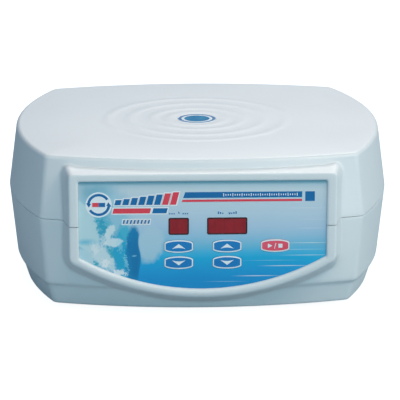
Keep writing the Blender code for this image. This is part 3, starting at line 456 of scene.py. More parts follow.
def makeBoardGreen():
    # solder mask over copper tracks, with tinned pads
    made, tree, surface = newMaterial("boardGreen", (0.01, 0.12, 0.05), 0.4)
    flat = objectPlace(tree)
    bricks = {"Vector": flat, "Scale": board["trackScale"], "Mortar Size": 0.012, "Mortar Smooth": 0.2}
    tracks = addNode(tree, "ShaderNodeTexBrick", bricks, offset=0.37, offset_frequency=3).outputs["Fac"]
    cells = {"Vector": flat, "Scale": board["padScale"], "Randomness": 0.75}
    dots = addNode(tree, "ShaderNodeTexVoronoi", cells)
    pads = remap(tree, dots.outputs["Distance"], 0.20, 0.14)
    rings = remap(tree, dots.outputs["Distance"], 0.08, 0.05)
    touch = useGroup(tree, touchOfUse, flat, Mottle=45.0, Grain=2600.0, Scratch=0.3)
    colour = blendColour(tree, touch["Mottle"], *board["mask"])
    colour = blendColour(tree, times(tree, tracks, 0.6), colour, board["track"])
    colour = blendColour(tree, pads, colour, board["pad"])
    colour = blendColour(tree, rings, colour, board["padHole"])
    height = plus(tree, times(tree, tracks, board["trackHeight"]), times(tree, pads, board["padHeight"]))
    connect(tree, times(tree, pads, 0.9), surface.inputs["Metallic"])
    coat(tree, surface, colour, remap(tree, touch["Mottle"], 0.0, 1.0, 0.30, 0.45), height)
    return made


# the stripe and the bare lid begin at these places, in metres
sleeve = {
    "base": (0.018, 0.028, 0.110), "worn": (0.012, 0.020, 0.075), "stripe": (0.55, 0.60, 0.62),
    "stripeX": (0.0948, 0.0946), "lid": (0.70, 0.70, 0.71), "lidZ": (0.0500, 0.0502),
}


def makeCapacitorSleeve():
    # shrink sleeve with a pale stripe down one side, and bare metal on top
    made, tree, surface = newMaterial("capacitorSleeve", (0.02, 0.03, 0.10), 0.3)
    place = objectPlace(tree)
    x, _, z = axes(tree, place)
    lid = remap(tree, z, *sleeve["lidZ"])
    stripe = times(tree, remap(tree, x, *sleeve["stripeX"]), remap(tree, lid, 0.5, 0.4))
    touch = useGroup(tree, touchOfUse, place, Mottle=90.0, Grain=2200.0, Scratch=0.4)
    colour = blendColour(tree, touch["Mottle"], sleeve["base"], sleeve["worn"])
    colour = blendColour(tree, stripe, colour, sleeve["stripe"])
    colour = blendColour(tree, lid, colour, sleeve["lid"])
    connect(tree, lid, surface.inputs["Metallic"])
    coat(tree, surface, colour, remap(tree, touch["Mottle"], 0.0, 1.0, 0.25, 0.36),
         times(tree, touch["Height"], 0.03))
    return made


def makeFuseGlass():
    clear, hazy = (0.90, 0.94, 0.92), (0.80, 0.86, 0.84)
    made, tree, surface = newMaterial("fuseGlass", clear, 0.05)
    surface.inputs["Transmission Weight"].default_value = 0.9
    touch = useGroup(tree, touchOfUse, objectPlace(tree), Mottle=200.0, Grain=1500.0, Scratch=0.3)
    coat(tree, surface, blendColour(tree, touch["Mottle"], clear, hazy),
         remap(tree, touch["Mottle"], 0.0, 1.0, 0.03, 0.08))
    return made


view = {"azimuth": -1.8, "elevation": 15.3, "distance": 2.209, "lens": 211.2, "aim": (0.0, 0.0, 0.070),
        "shiftX": 0.0078, "shiftY": -0.0148}


def aimed(made, at, aim):
    # stands a camera or a lamp somewhere, facing a point
    made.location = at
    made.rotation_mode = "QUATERNION"
    made.rotation_quaternion = (Vector(aim) - Vector(at)).to_track_quat("-Z", "Y")
    bpy.context.scene.collection.objects.link(made)
    return made


def makeCamera():
    azimuth, elevation = radians(view["azimuth"]), radians(view["elevation"])
    back = Vector((sin(azimuth) * cos(elevation), -cos(azimuth) * cos(elevation), sin(elevation)))
    lens = bpy.data.cameras.new("camera")
    lens.sensor_width = 36.0
    lens.lens = view["lens"]
    lens.shift_x, lens.shift_y = view["shiftX"], view["shiftY"]
    lens.clip_start, lens.clip_end = 0.1, 50.0
    aim = Vector(view["aim"])
    camera = bpy.data.objects.new("camera", lens)
    bpy.context.scene.camera = aimed(camera, aim + back * view["distance"], aim)


studio = {
    "ambient": (0.296, 0.463, 0.644), "ambientStrength": 0.5, "backdrop": 1.0, "lightsAim": (0.0, 0.0, 0.08),
    "floorBounce": (0.34, 0.42, 0.46), "floorGlow": 0.93, "floorHalf": 6000.0,
    "lights": {
        "key": {"at": (1.25, -1.25, 1.7), "size": (0.9, 0.7), "power": 15.8, "colour": (1.0, 0.87, 0.73)},
        "right": {"at": (2.3, -0.5, 1.0), "size": (1.0, 0.8), "power": 13.0, "colour": (0.74, 0.95, 1.0)},
        "front": {"at": (-0.1, -2.3, 0.9), "size": (1.4, 0.8), "power": 13.4, "colour": (0.55, 0.88, 1.0),
                  "mirrored": False},
        "above": {"at": (0.2, -1.3, 1.9), "size": (1.4, 0.9), "power": 10.1, "colour": (1.0, 0.78, 0.58)},
        "rear": {"at": (0.3, 1.6, 1.6), "size": (1.2, 0.8), "power": 20.7, "colour": (1.0, 0.95, 0.92)},
    },
}


def softLight(name, settings):
    lamp = bpy.data.lights.new(name, "AREA")
    lamp.shape = "RECTANGLE"
    lamp.size, lamp.size_y = settings["size"]
    lamp.energy = settings["power"]
    lamp.color = settings["colour"]
    holder = aimed(bpy.data.objects.new(name, lamp), settings["at"], studio["lightsAim"])
    # the front lamp isn't mirrored: from behind, the platform would show it as one glaring sheet
    holder.visible_glossy = settings.get("mirrored", True)


def makeStudio():
    bpy.context.scene.view_settings.view_transform = "Standard"
    bm = bmesh.new()
    bmesh.ops.create_grid(bm, x_segments=1, y_segments=1, size=studio["floorHalf"])
    floor = meshObject(bm, "floor")
    # the floor glows white to the camera alone, and gives back a soft tint to the stirrer
    paper, tree, surface = newMaterial("floorPaper", studio["floorBounce"], 0.9)
    surface.inputs["Emission Color"].default_value = (1.0, 1.0, 1.0, 1.0)
    seen = addNode(tree, "ShaderNodeLightPath").outputs["Is Camera Ray"]
    connect(tree, times(tree, seen, studio["floorGlow"]), surface.inputs["Emission Strength"])
    floor.data.materials.append(paper)
    sky = bpy.data.worlds.new("studio")
    sky.use_nodes = True
    tree = sky.node_tree
    seen = addNode(tree, "ShaderNodeLightPath").outputs["Is Camera Ray"]
    shade = blendColour(tree, seen, studio["ambient"], (1.0, 1.0, 1.0))
    strength = remap(tree, seen, 0.0, 1.0, studio["ambientStrength"], studio["backdrop"])
    background = tree.nodes["Background"]
    connect(tree, shade, background.inputs["Color"])
    connect(tree, strength, background.inputs["Strength"])
    bpy.context.scene.world = sky
    for name, settings in studio["lights"].items():
        softLight(name, settings)


def meshObject(bm, name):
    bmesh.ops.scale(bm, vec=(mm, mm, mm), verts=bm.verts)
    mesh = bpy.data.meshes.new(name)
    bm.to_mesh(mesh)
    bm.free()
    made = bpy.data.objects.new(name, mesh)
    bpy.context.scene.collection.objects.link(made)
    return made


def finishPiece(bm, name, body, coats, replaced=(), wall=None, cutter=None, rounding=None):
    # makes a drawing into a piece: given a wall, cut, rounded at its edges, and put on its body
    piece = meshObject(bm, name)
    for finish in coats:
        piece.data.materials.append(finish)

    def step(kind, **settings):
        modifier = piece.modifiers.new(kind.title(), kind)
        for key, value in settings.items():
            setattr(modifier, key, value)
    knife = meshObject(cutter, name + "Knife") if cutter else None
    if wall:
        step("SOLIDIFY", thickness=wall * mm, offset=-1.0)
    if knife:
        step("BOOLEAN", operation="DIFFERENCE", solver="EXACT", object=knife)
    if rounding:
        step("BEVEL", width=rounding * mm, segments=2, limit_method="ANGLE", angle_limit=radians(55))
    if len(piece.modifiers):
        built = bpy.data.meshes.new_from_object(piece.evaluated_get(bpy.context.evaluated_depsgraph_get()))
        piece.modifiers.clear()
        piece.data = built
        built.name = name
    if knife:
        bpy.data.objects.remove(knife)
    piece.data.shade_smooth()
    piece.data.set_sharp_from_angle(angle=radians(32))
    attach(piece, body)
    if replaced:
        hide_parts(*replaced)


def vertsOf(items):
    return [item for item in items if isinstance(item, bmesh.types.BMVert)]


def edgesOf(items):
    return [item for item in items if isinstance(item, bmesh.types.BMEdge)]


def faceOut(bm):
    bmesh.ops.recalc_face_normals(bm, faces=bm.faces)


def faceAlongY(faces, way):
    # turns faces to the front (way -1) or to the rear (way 1)
    for face in faces:
        face.normal_update()
        if face.normal.y * way < 0:
            face.normal_flip()


def bevelEdges(bm, edges, offset, segments):
    bmesh.ops.bevel(bm, geom=edges, offset=offset, segments=segments, profile=0.5, affect="EDGES", material=-1)


def turnAbout(bm, angle, axis):
    bmesh.ops.rotate(bm, verts=bm.verts, cent=(0, 0, 0), matrix=Matrix.Rotation(angle, 3, axis))


def wrapGrid(columns, rows, place):
    # a grid sheet bent to shape: place(column, row) says where each of its points goes
    bm = bmesh.new()
    bmesh.ops.create_grid(bm, x_segments=len(columns) - 1, y_segments=len(rows) - 1, size=0.5)
    for index, vert in enumerate(bm.verts):
        row, column = divmod(index, len(columns))
        vert.co = place(columns[column], rows[row])
    return bm


def mirrorAcross(bm):
    bmesh.ops.mirror(bm, geom=bm.verts[:] + bm.edges[:] + bm.faces[:], merge_dist=0.01, axis="X")
    bmesh.ops.remove_doubles(bm, verts=bm.verts, dist=0.002)
    faceOut(bm)


def addTo(bm, other):
    carrier = bpy.data.meshes.new("carrier")
    other.to_mesh(carrier)
    other.free()
    bm.from_mesh(carrier)
    bpy.data.meshes.remove(carrier)


def spread(start, end, count):
    return [start + (end - start) * i / (count - 1) for i in range(count)]


def turned(profile, centre=(0.0, 0.0, 0.0), steps=64, alongX=False):
    # a profile of (radius, height) spun round an upright axis, which may then be laid along X
    bm = bmesh.new()
    line = [bm.verts.new((radius, 0.0, height)) for radius, height in profile]
    edges = [bm.edges.new(pair) for pair in zip(line, line[1:])]
    bmesh.ops.spin(bm, geom=line + edges, cent=(0, 0, 0), axis=(0, 0, 1), angle=2 * pi, steps=steps,
                   use_merge=True)
    bmesh.ops.remove_doubles(bm, verts=bm.verts, dist=0.0005)
    faceOut(bm)
    if alongX:
        turnAbout(bm, pi / 2, "Y")
    bmesh.ops.translate(bm, verts=bm.verts, vec=centre)
    return bm


def block(xRange, yRange, zRange):
    bm = bmesh.new()
    bmesh.ops.create_cube(bm, size=1.0)
    ranges = (xRange, yRange, zRange)
    bmesh.ops.scale(bm, verts=bm.verts, vec=[high - low for low, high in ranges])
    bmesh.ops.translate(bm, verts=bm.verts, vec=[(low + high) / 2 for low, high in ranges])
    return bm


def roundCorners(bm, offset, segments=4):
    # rounds the edges of a block that run from front to rear
    edges = [edge for edge in bm.edges if abs((edge.verts[0].co - edge.verts[1].co).normalized().y) > 0.99]
    bevelEdges(bm, edges, offset, segments)


def inkShape(bm, corners, ink, surfaceY, lift, rounding=0.0):
    # a flat printed shape that faces the front, a few hundredths of a millimetre thick
    verts = [bm.verts.new((x, surfaceY, z)) for x, z in corners]
    face = bm.faces.new(verts)
    if rounding:
        made = bmesh.ops.bevel(bm, geom=verts, offset=rounding, segments=4, profile=0.5, affect="VERTICES",
                               material=-1)
        faces = {face for vert in made["verts"] for face in vert.link_faces}
        face = max(faces, key=lambda item: item.calc_area())
    raiseInk(bm, [face], ink, -lift)


def raiseInk(bm, faces, ink, lift):
    # makes faces into thin solids of one ink, raised along Y
    faceAlongY(faces, lift)
    grown = bmesh.ops.extrude_face_region(bm, geom=faces, use_keep_orig=True)["geom"]
    bmesh.ops.translate(bm, verts=vertsOf(grown), vec=(0.0, lift, 0.0))
    for face in faces:
        face.normal_flip()
    for item in faces + grown:
        if isinstance(item, bmesh.types.BMFace):
            item.material_index = ink


def planCorner(inset):
    side = housing["sideRadius"] - inset
    front = housing["frontRadius"] - inset
    radius = housing["cornerRadius"]
    sideX = housing["halfWidth"] - housing["sideRadius"]
    rearY = housing["halfDepth"] - housing["frontRadius"]
    apart = hypot(sideX, rearY)
    along = ((side - radius) ** 2 - (front - radius) ** 2 + apart ** 2) / (2 * apart)
    across = sqrt((side - radius) ** 2 - along ** 2)
    cornerX = sideX - along * sideX / apart - across * rearY / apart
    cornerY = along * rearY / apart - across * sideX / apart
    return {"side": side, "front": front, "radius": radius, "sideX": sideX, "rearY": rearY, "x": cornerX,
            "y": cornerY, "sideEnd": atan2(cornerY, cornerX - sideX),
            "rearStart": atan2(cornerY - rearY, cornerX)}


def frontWallY(x, z):
    front = housing["frontRadius"] - wallInset(z)
    return -(housing["halfDepth"] - housing["frontRadius"] + sqrt(front ** 2 - x ** 2))


def planPoint(column, inset):
    part, t = column
    plan = planCorner(inset)
    flip = -1.0 if part in ("front", "frontEnd", "frontCorner") else 1.0
    if part == "front":
        x = t
        y = plan["rearY"] + sqrt(plan["front"] ** 2 - x ** 2)
    elif part in ("frontEnd", "rear"):
        startX = housing["frontEnd"] if part == "frontEnd" else 0.0
        endX = plan["front"] * cos(plan["rearStart"])
        x = startX + (endX - startX) * t
        y = plan["rearY"] + sqrt(plan["front"] ** 2 - x ** 2)
    elif part in ("frontCorner", "rearCorner"):
        angle = plan["rearStart"] + (plan["sideEnd"] - plan["rearStart"]) * t
        x = plan["x"] + plan["radius"] * cos(angle)
        y = plan["y"] + plan["radius"] * sin(angle)
    else:
        angle = plan["sideEnd"] * t
        x = plan["sideX"] + plan["side"] * cos(angle)
        y = plan["side"] * sin(angle)
    return x, flip * y


def halfColumns():
    columns = [("front", x) for x in spread(0.0, housing["frontEnd"], 34)]
    columns += [("frontEnd", t) for t in spread(0.0, 1.0, 7)[1:]]
    columns += [("frontCorner", t) for t in spread(0.0, 1.0, 9)[1:]]
    columns += [("side", t) for t in spread(-1.0, 1.0, 41)[1:]]
    columns += [("rearCorner", t) for t in reversed(spread(0.0, 1.0, 9)[:-1])]
    columns += [("rear", t) for t in reversed(spread(0.0, 1.0, 33)[:-1])]
    return columns


def shellWall(rows):
    def place(column, row):
        z, inset = row
        x, y = planPoint(column, inset)
        return x, y, z
    bm = wrapGrid(halfColumns(), rows, place)
    mirrorAcross(bm)
    return bm


def insideBezel(x, z, grow):
    if abs(x) > bezel["half"] + grow or z > bezel["top"] + grow:
        return False
    return hypot(x, bezel["arcCentreZ"] - z) < bezel["arcRadius"] + grow


def openWall(bm):
    # the wall is open behind the bezel's rim, and behind the frame at the rear
    def hidden(at):
        behindBezel = at.y < -130.0 and insideBezel(at.x, at.z, 1.5)
        behindBoss = (at.y > 130.0 and abs(at.x) < boss["half"] + 2.0
                      and boss["low"] - 2.0 < at.z < boss["top"] + 2.0)
        return behindBezel or behindBoss
    faces = [face for face in bm.faces if hidden(face.calc_center_median())]
    bmesh.ops.delete(bm, geom=faces, context="FACES")


def rippleHeight(radius):
    height = 0.0
    for centre in ripples["radii"]:
        across = abs(radius - centre) / ripples["halfWidth"]
        if across < 1.0:
            height += ripples["height"] * 0.5 * (1 + cos(pi * across))
    return height


def platform(bm):
    # rings from the badge's pocket out to the rim
    top = housing["topZ"]
    rim = [edge for edge in bm.edges if edge.is_boundary and min(v.co.z for v in edge.verts) > top - 0.01]
    made = bmesh.ops.create_circle(bm, cap_ends=False, radius=18.0, segments=144,
                                   matrix=Matrix.Translation((0, 0, top - 1.2)))
    pocket = made["verts"]
    ring = list({edge for vert in pocket for edge in vert.link_edges})
    bmesh.ops.contextual_create(bm, geom=ring)
    steps = [(18.0, top - 0.25), (18.25, top)] + [(r, top) for r in spread(19.5, 96.0, 52)]
    for radius, height in steps:
        grown = bmesh.ops.extrude_edge_only(bm, edges=ring)["geom"]
        ring = edgesOf(grown)
        for vert in vertsOf(grown):
            flat = Vector((vert.co.x, vert.co.y)).normalized() * radius
            vert.co = (flat.x, flat.y, height + rippleHeight(radius))
    bmesh.ops.bridge_loops(bm, edges=rim + ring)
    faceOut(bm)


def cornerTurn(x, z, radius, start, end, count, square=2.0):
    # points round a corner, with the way that each grows: a high square keeps the grown corner sharp
    points = []
    for angle in spread(start, end, count):
        across, up = cos(angle), sin(angle)
        reach = (abs(across) ** square + abs(up) ** square) ** (-1 / square)
        points.append((x + radius * across, z + radius * up, across * reach, up * reach))
    return points


def bezelOutline():
    # the panel opening's right half from top to bottom: place, outward direction
    half, top, corner = (bezel[key] for key in ("half", "top", "corner"))
    radius, centreZ = bezel["arcRadius"], bezel["arcCentreZ"]
    turnX = half - corner
    turnZ = centreZ - sqrt((radius - corner) ** 2 - turnX ** 2)
    swing = atan2(turnX, centreZ - turnZ)
    points = [(x, top, 0.0, 1.0) for x in spread(0.0, turnX, 30)]
    points += cornerTurn(turnX, top - corner, corner, pi / 2, 0.0, 22, bezel["square"])[1:-1]
    points += [(half, z, 1.0, 0.0) for z in spread(top - corner, turnZ, 26)]
    points += cornerTurn(turnX, turnZ, corner, 0.0, swing - pi / 2, 7)[1:-1]
    points += cornerTurn(0.0, centreZ, radius, swing - pi / 2, -pi / 2, 48)
    return points


def bossOutline():
    half, top, low, corner = (boss[key] for key in ("half", "top", "low", "corner"))
    points = [(x, top, 0.0, 1.0) for x in spread(0.0, half - corner, 14)]
    points += cornerTurn(half - corner, top - corner, corner, pi / 2, 0.0, 8)[1:-1]
    points += [(half, z, 1.0, 0.0) for z in spread(top - corner, low + corner, 10)]
    points += cornerTurn(half - corner, low + corner, corner, 0.0, -pi / 2, 8)[1:-1]
    points += [(x, low, 0.0, -1.0) for x in spread(half - corner, 0.0, 14)]
    return points


def rimRise(outZ, shape):
    # the rim is narrower along the top
    return outZ * (shape["topShare"] if outZ > 0 else 1.0)


def rimSection(point, shape):
    # steps out across a raised rim, from its recess to the wall: (sideways, y)
    x, z, outX, outZ = point
    shares = (outX ** 2, max(outZ, 0.0) ** 2, max(-outZ, 0.0) ** 2)
    inner, outer, draft, fillet = (sum(part * share for part, share in zip(shape[key], shares)) / sum(shares)
                                   for key in ("inner", "outer", "draft", "fillet"))
    front, rim = shape["frontY"], shape["rim"]

    def wallAt(sideways):
        return frontWallY(x + outX * sideways, z + rimRise(outZ, shape) * sideways)
    steps = [(0.0, shape["recessY"]), (0.0, front + inner)]
    for angle in spread(0.0, pi / 2, 6)[1:]:
        steps.append((inner * (1 - cos(angle)), front + inner * (1 - sin(angle))))
    steps.append(((inner + rim - outer) / 2, front - 0.05))
    for angle in spread(0.0, pi / 2, 8):
        steps.append((rim - outer + outer * sin(angle), front + outer * (1 - cos(angle))))
    start = front + outer
    foot = rim + draft * (wallAt(rim) - start)
    for t in spread(0.0, 1.0, 7)[1:]:
        steps.append((rim + (foot - rim) * t, start + (wallAt(foot) - fillet - start) * t))
    for angle in spread(0.0, pi / 2, 9)[1:]:
        sideways = foot + fillet * (1 - cos(angle))
        steps.append((sideways, wallAt(sideways) - fillet * (1 - sin(angle))))
    last = foot + fillet + 1.0
    steps.append((last, wallAt(last) + 0.3))
    return steps


def raisedRim(outline, shape):
    sections = [rimSection(point, shape) for point in outline]

    def place(column, row):
        x, z, outX, outZ = outline[column]
        sideways, y = sections[column][row]
        return x + outX * sideways, y, z + rimRise(outZ, shape) * sideways
    bm = wrapGrid(range(len(outline)), range(len(sections[0])), place)
    mirrorAcross(bm)
    return bm


def rearFrame():
    # the raised frame and its seat, with the holes for the power socket and the switch
    bm = raisedRim(bossOutline(), boss)
    half, low, top, seatY = boss["half"], boss["low"], boss["top"], boss["recessY"]
    columns = sorted({-half, half} | {edge for hole in boss["holes"] for edge in hole[:2]})
    rows = sorted({low, top} | {edge for hole in boss["holes"] for edge in hole[2:]})
    seat = wrapGrid(columns, rows, lambda x, z: (x, seatY, z))

    def inHole(at):
        return any(left < at.x < right and bottom < at.z < high for left, right, bottom, high in boss["holes"])
    cut = [face for face in seat.faces if inHole(face.calc_center_median())]
    bmesh.ops.delete(seat, geom=cut, context="FACES")
    faceAlongY(seat.faces, -1)
    addTo(bm, seat)
    turnAbout(bm, pi, "Z")
    return bm


def cutAtParting(bm, keep):
    gap = housing["partingGap"] / 2
    height = housing["partingZ"] + (gap if keep == "upper" else -gap)
    bmesh.ops.bisect_plane(bm, geom=bm.verts[:] + bm.edges[:] + bm.faces[:], dist=0.0001,
                           plane_co=(0, 0, height), plane_no=(0, 0, 1), clear_inner=keep == "upper",
                           clear_outer=keep == "lower")


def makeTopHousing(finish):
    gap = housing["partingGap"] / 2
    rows = [(z, wallInset(z)) for z in spread(housing["partingZ"] + gap, 135.0, 16)]
    rows += [(z, wallInset(z)) for z in (137.0, 138.2, 139.0)]
    for angle in spread(0.0, pi / 2, 10)[1:]:
        radius = housing["rimRadius"]
        rows.append((139.0 + radius * sin(angle), housing["rimInset"] + radius * (1 - cos(angle))))
    bm = shellWall(rows)
    openWall(bm)
    platform(bm)
    rim = raisedRim(bezelOutline(), bezel)
    cutAtParting(rim, "upper")
    addTo(bm, rim)
    finishPiece(bm, "topShell", "base", [finish], ["top_housing"], wall=housing["wall"],
                rounding=housing["edgeRound"])


def fourCorners(place):
    return [(sideX * place[0], sideY * place[1], 0.0) for sideY in (-1, 1) for sideX in (-1, 1)]


def makeBottomHousing(finish):
    gap = housing["partingGap"] / 2
    low = [z for z, _ in wallProfile if z < 28.0]
    heights = sorted(low + spread(10.0, 20.0, 5) + spread(30.0, housing["partingZ"] - gap, 20))
    bm = shellWall([(z, wallInset(z)) for z in heights])
    openWall(bm)
    floorEdges = [edge for edge in bm.edges if edge.is_boundary
                  and max(v.co.z for v in edge.verts) < housing["bottomZ"] + 0.01]
    bmesh.ops.contextual_create(bm, geom=floorEdges)
    faceOut(bm)
    rim = raisedRim(bezelOutline(), bezel)
    cutAtParting(rim, "lower")
    addTo(bm, rim)
    addTo(bm, rearFrame())
    holes = bmesh.new()
    low = under["holeLow"]
    for at, radius, high in (("screwAt", under["screwHole"], under["holeTop"]),
                             ("footAt", under["footHole"], under["footSeat"])):
        for centre in fourCorners(under[at]):
            addTo(holes, turned([(0.0, low), (radius, low), (radius, high), (0.0, high)], centre))
    finishPiece(bm, "bottomShell", "base", [finish], ["bottom_housing"],
                wall=housing["wall"], cutter=holes, rounding=housing["edgeRound"])
    # the posts that the long housing screws stand in
    posts = bmesh.new()
    hole, shaft, outside = under["screwHole"], under["shaftHole"], under["postOutside"]
    low, seat, top = under["postLow"], under["headSeat"], under["postTop"]
    profile = [(hole, low), (outside, low), (outside - 0.5, top), (shaft, top), (shaft, seat), (hole, seat),
               (hole, low)]
    for centre in fourCorners(under["screwAt"]):
        addTo(posts, turned(profile, centre, 32))
    finishPiece(posts, "screwPosts", "base", [finish])


panel = {
    "frontY": -166.7, "backY": -165.8, "edgeGap": 0.12, "cutGap": 0.22, "inkDepth": 0.05, "inkSink": 0.01,
    "windowZ": 86.6,
    "windowHeight": 15.1, "windows": {"time": (-21.1, 17.5), "speed": (21.2, 34.8)}, "windowFrame": 0.95,
    "windowCorner": 1.3, "windowBackY": -163.8, "filterSink": 0.12, "cutterReach": 3.0,
}
keys = {
    "width": 25.2, "height": 11.6, "endHalf": 2.6, "frontY": -167.1, "backY": -162.6, "flange": 1.2,
    "flangeBackY": -161.3, "stem": 2.2, "stemEndY": -159.0, "outline": 1.15, "edgeRound": 0.3, "points": 96,
    "arrow": ((0.0, 2.35), (5.9, -2.2), (3.0, -1.5), (0.0, -1.25), (-3.0, -1.5), (-5.9, -2.2)),
    # a start triangle, a stroke and a stop square
    "startStop": (((-6.4, 2.1), (-2.4, 0.0), (-6.4, -2.1)),
                  ((0.4, 2.6), (1.0, 2.6), (-0.4, -2.6), (-1.0, -2.6)),
                  ((2.8, 1.8), (6.4, 1.8), (6.4, -1.8), (2.8, -1.8))),
    "places": {"time_up_key": (-21.1, 68.4), "time_down_key": (-21.1, 53.6), "speed_up_key": (21.2, 68.4),
               "speed_down_key": (21.2, 53.6), "start_stop_key": (63.2, 68.4)},
}


def keyPoint(angle, grow=0.0):
    # a key's outline: short upright ends, bowed upper and lower edges
    bow = keys["height"] / 2 - keys["endHalf"]
    x = (keys["width"] / 2 + grow) * cos(angle)
    z = copysign(keys["endHalf"] + grow + bow * abs(sin(angle)), sin(angle))
    return x, z


def keyShape(place, y, grow=0.0):
    # a filled outline at a depth, made from a round disc
    bm = bmesh.new()
    made = bmesh.ops.create_circle(bm, cap_ends=True, radius=1.0, segments=keys["points"],
                                   matrix=Matrix.Rotation(pi / keys["points"], 4, "Z"))
    for vert in made["verts"]:
        x, z = keyPoint(atan2(vert.co.y, vert.co.x), grow)
        vert.co = (place[0] + x, y, place[1] + z)
    return bm


def extrudeBack(bm, y):
    # carries the whole drawing back to a depth, as a closed solid
    for vert in vertsOf(bmesh.ops.extrude_face_region(bm, geom=bm.faces[:], use_keep_orig=True)["geom"]):
        vert.co.y = y
    faceOut(bm)


def makeKey(name, colour, white):
    centreX, centreZ = keys["places"][name]
    bm = keyShape((centreX, centreZ), keys["frontY"])
    face = bm.faces[:][0]
    faceAlongY([face], -1)
    rim = bm.edges[:]
    wide, tall = (1 + 2 * keys["flange"] / keys[side] for side in ("width", "height"))
    back, flangeBack = keys["backY"], keys["flangeBackY"]
    # from the front: down the side, out to the flange, and in to the stem that meets the push switch
    for y, scaleX, scaleZ, stem in ((back, 1.0, 1.0, 0.0), (back, wide, tall, 0.0), (flangeBack, 1.0, 1.0, 0.0),
                                    (flangeBack, 1.0, 1.0, keys["stem"]), (keys["stemEndY"], 1.0, 1.0, 0.0)):
        added = bmesh.ops.extrude_edge_only(bm, edges=rim)["geom"]
        rim = edgesOf(added)
        for vert in vertsOf(added):
            side = Vector(((vert.co.x - centreX) * scaleX, (vert.co.z - centreZ) * scaleZ))
            if stem:
                side = side.normalized() * stem
            vert.co = (centreX + side.x, y, centreZ + side.y)
    bmesh.ops.contextual_create(bm, geom=rim)
    bmesh.ops.inset_region(bm, faces=[face], thickness=keys["outline"], use_even_offset=True)
    faceOut(bm)
    front = keys["frontY"]
    for item in bm.faces:
        item.material_index = 1 if abs(item.calc_center_median().y - front) < 0.01 and item is not face else 0
    edge = [item for item in bm.edges if all(abs(v.co.y - front) < 0.01 for v in item.verts)
            and any(abs(f.normal.y) < 0.5 for f in item.link_faces)]
    bevelEdges(bm, edge, keys["edgeRound"], 3)
    if name == "start_stop_key":
        for shape in keys["startStop"]:
            inkShape(bm, [(centreX + x, centreZ + z) for x, z in shape], 1, front, panel["inkDepth"], 0.25)
    else:
        flip = -1.0 if "down" in name else 1.0
        inkShape(bm, [(centreX + x, centreZ + flip * z) for x, z in keys["arrow"]], 1, front, panel["inkDepth"])
    finishPiece(bm, name.replace("_key", "Key").replace("_", "-"), name, [colour, white], [name])


def makeOverlay(art):
    gap = panel["edgeGap"]
    outline = [(x - gap * outX, z - gap * outZ) for x, z, outX, outZ in bezelOutline()]
    bm = bmesh.new()
    right = [bm.verts.new((x, panel["frontY"], z)) for x, z in outline]
    left = [bm.verts.new((-x, panel["frontY"], z)) for x, z in reversed(outline[1:-1])]
    bm.faces.new(right + left)
    extrudeBack(bm, panel["backY"])
    holes = bmesh.new()
    grow = panel["cutGap"]
    before, behind = panel["frontY"] - panel["cutterReach"], panel["backY"] + panel["cutterReach"]
    for place in keys["places"].values():
        hole = keyShape(place, before, grow)
        extrudeBack(hole, behind)
        addTo(holes, hole)
    for x, width in panel["windows"].values():
        high = panel["windowHeight"] / 2 + grow
        hole = block((x - width / 2 - grow, x + width / 2 + grow), (before, behind),
                     (panel["windowZ"] - high, panel["windowZ"] + high))
        roundCorners(hole, panel["windowCorner"] + grow)
        addTo(holes, hole)
    finishPiece(bm, "controlOverlay", "base", [art], ["control_overlay"], cutter=holes)


def makeWindow(name, red, black):
    x, width = panel["windows"][name]
    high = panel["windowHeight"] / 2
    bm = block((x - width / 2, x + width / 2), (panel["frontY"], panel["windowBackY"]),
               (panel["windowZ"] - high, panel["windowZ"] + high))
    roundCorners(bm, panel["windowCorner"], 6)
    front = [min(bm.faces, key=lambda face: face.calc_center_median().y)]
    bmesh.ops.inset_region(bm, faces=front, thickness=panel["windowFrame"], use_even_offset=True)
    for face in bm.faces:
        face.material_index = 0 if face in front else 1
    # the filter stands a little back from its frame
    sink = panel["filterSink"]
    for face in bmesh.ops.inset_region(bm, faces=front, thickness=sink, use_even_offset=True)["faces"]:
        face.material_index = 1
    bmesh.ops.translate(bm, verts=front[0].verts[:], vec=(0.0, sink, 0.0))
    finishPiece(bm, name + "Window", "base", [red, black], [name + "_window"])


# printed marks on the panel: stripes, a turning magnet, a rising level meter, and a label over each window.
# each shape ends with its ink: 0 white, 1 navy, 2 red, 3 pale
marks = {
    "stripes": (((-15.4, 117.4), (86.3, 117.4), (86.3, 112.1), (-17.2, 112.1), 1),
                ((-17.7, 110.7), (86.3, 110.7), (86.3, 108.6), (-18.4, 108.6), 2),
                ((89.0, 117.4), (97.4, 117.4), (97.4, 108.6), (89.0, 108.6), 1)),
    "stripeEdge": ((-16.2, 118.0), (86.9, 118.0), (86.9, 108.0), (-19.6, 108.0)),
    "scaleMarks": {"from": 18.0, "to": 82.0, "count": 33, "width": 0.75, "tall": 2.6, "short": 1.5,
                   "z": 114.75},
    "turn": {"x": -90.5, "z": 106.6, "disc": 11.4, "ring": 10.0, "band": 2.3, "gap": 0.55, "end": 0.15,
             "barb": 2.3, "tip": 0.42, "bar": (5.6, 1.9)},
    "meter": {"x": -77.0, "z": 106.2, "step": 6.9, "width": 5.3, "first": 4.6, "rise": 0.95, "count": 8,
              "lean": 0.26},
    "bars": (((-77.5, 103.2), (-45.0, 103.2), (-46.2, 98.6), (-78.7, 98.6), 2),
             ((-43.0, 103.2), (-30.5, 103.2), (-31.7, 98.6), (-44.2, 98.6), 1)),
    "ticks": {"x": -70.0, "z": 91.0, "step": 3.1, "count": 8, "width": 1.5, "height": 3.6, "lean": 0.26},
    "label": {"z": 98.6, "first": 3.9, "step": 1.9, "count": 3, "dot": 1.15, "rise": 0.6, "drop": 1.1,
              "arrow": ((0.7, 0.2), (3.3, 0.2), (2.0, -1.7))},
    "outline": 0.95,
}


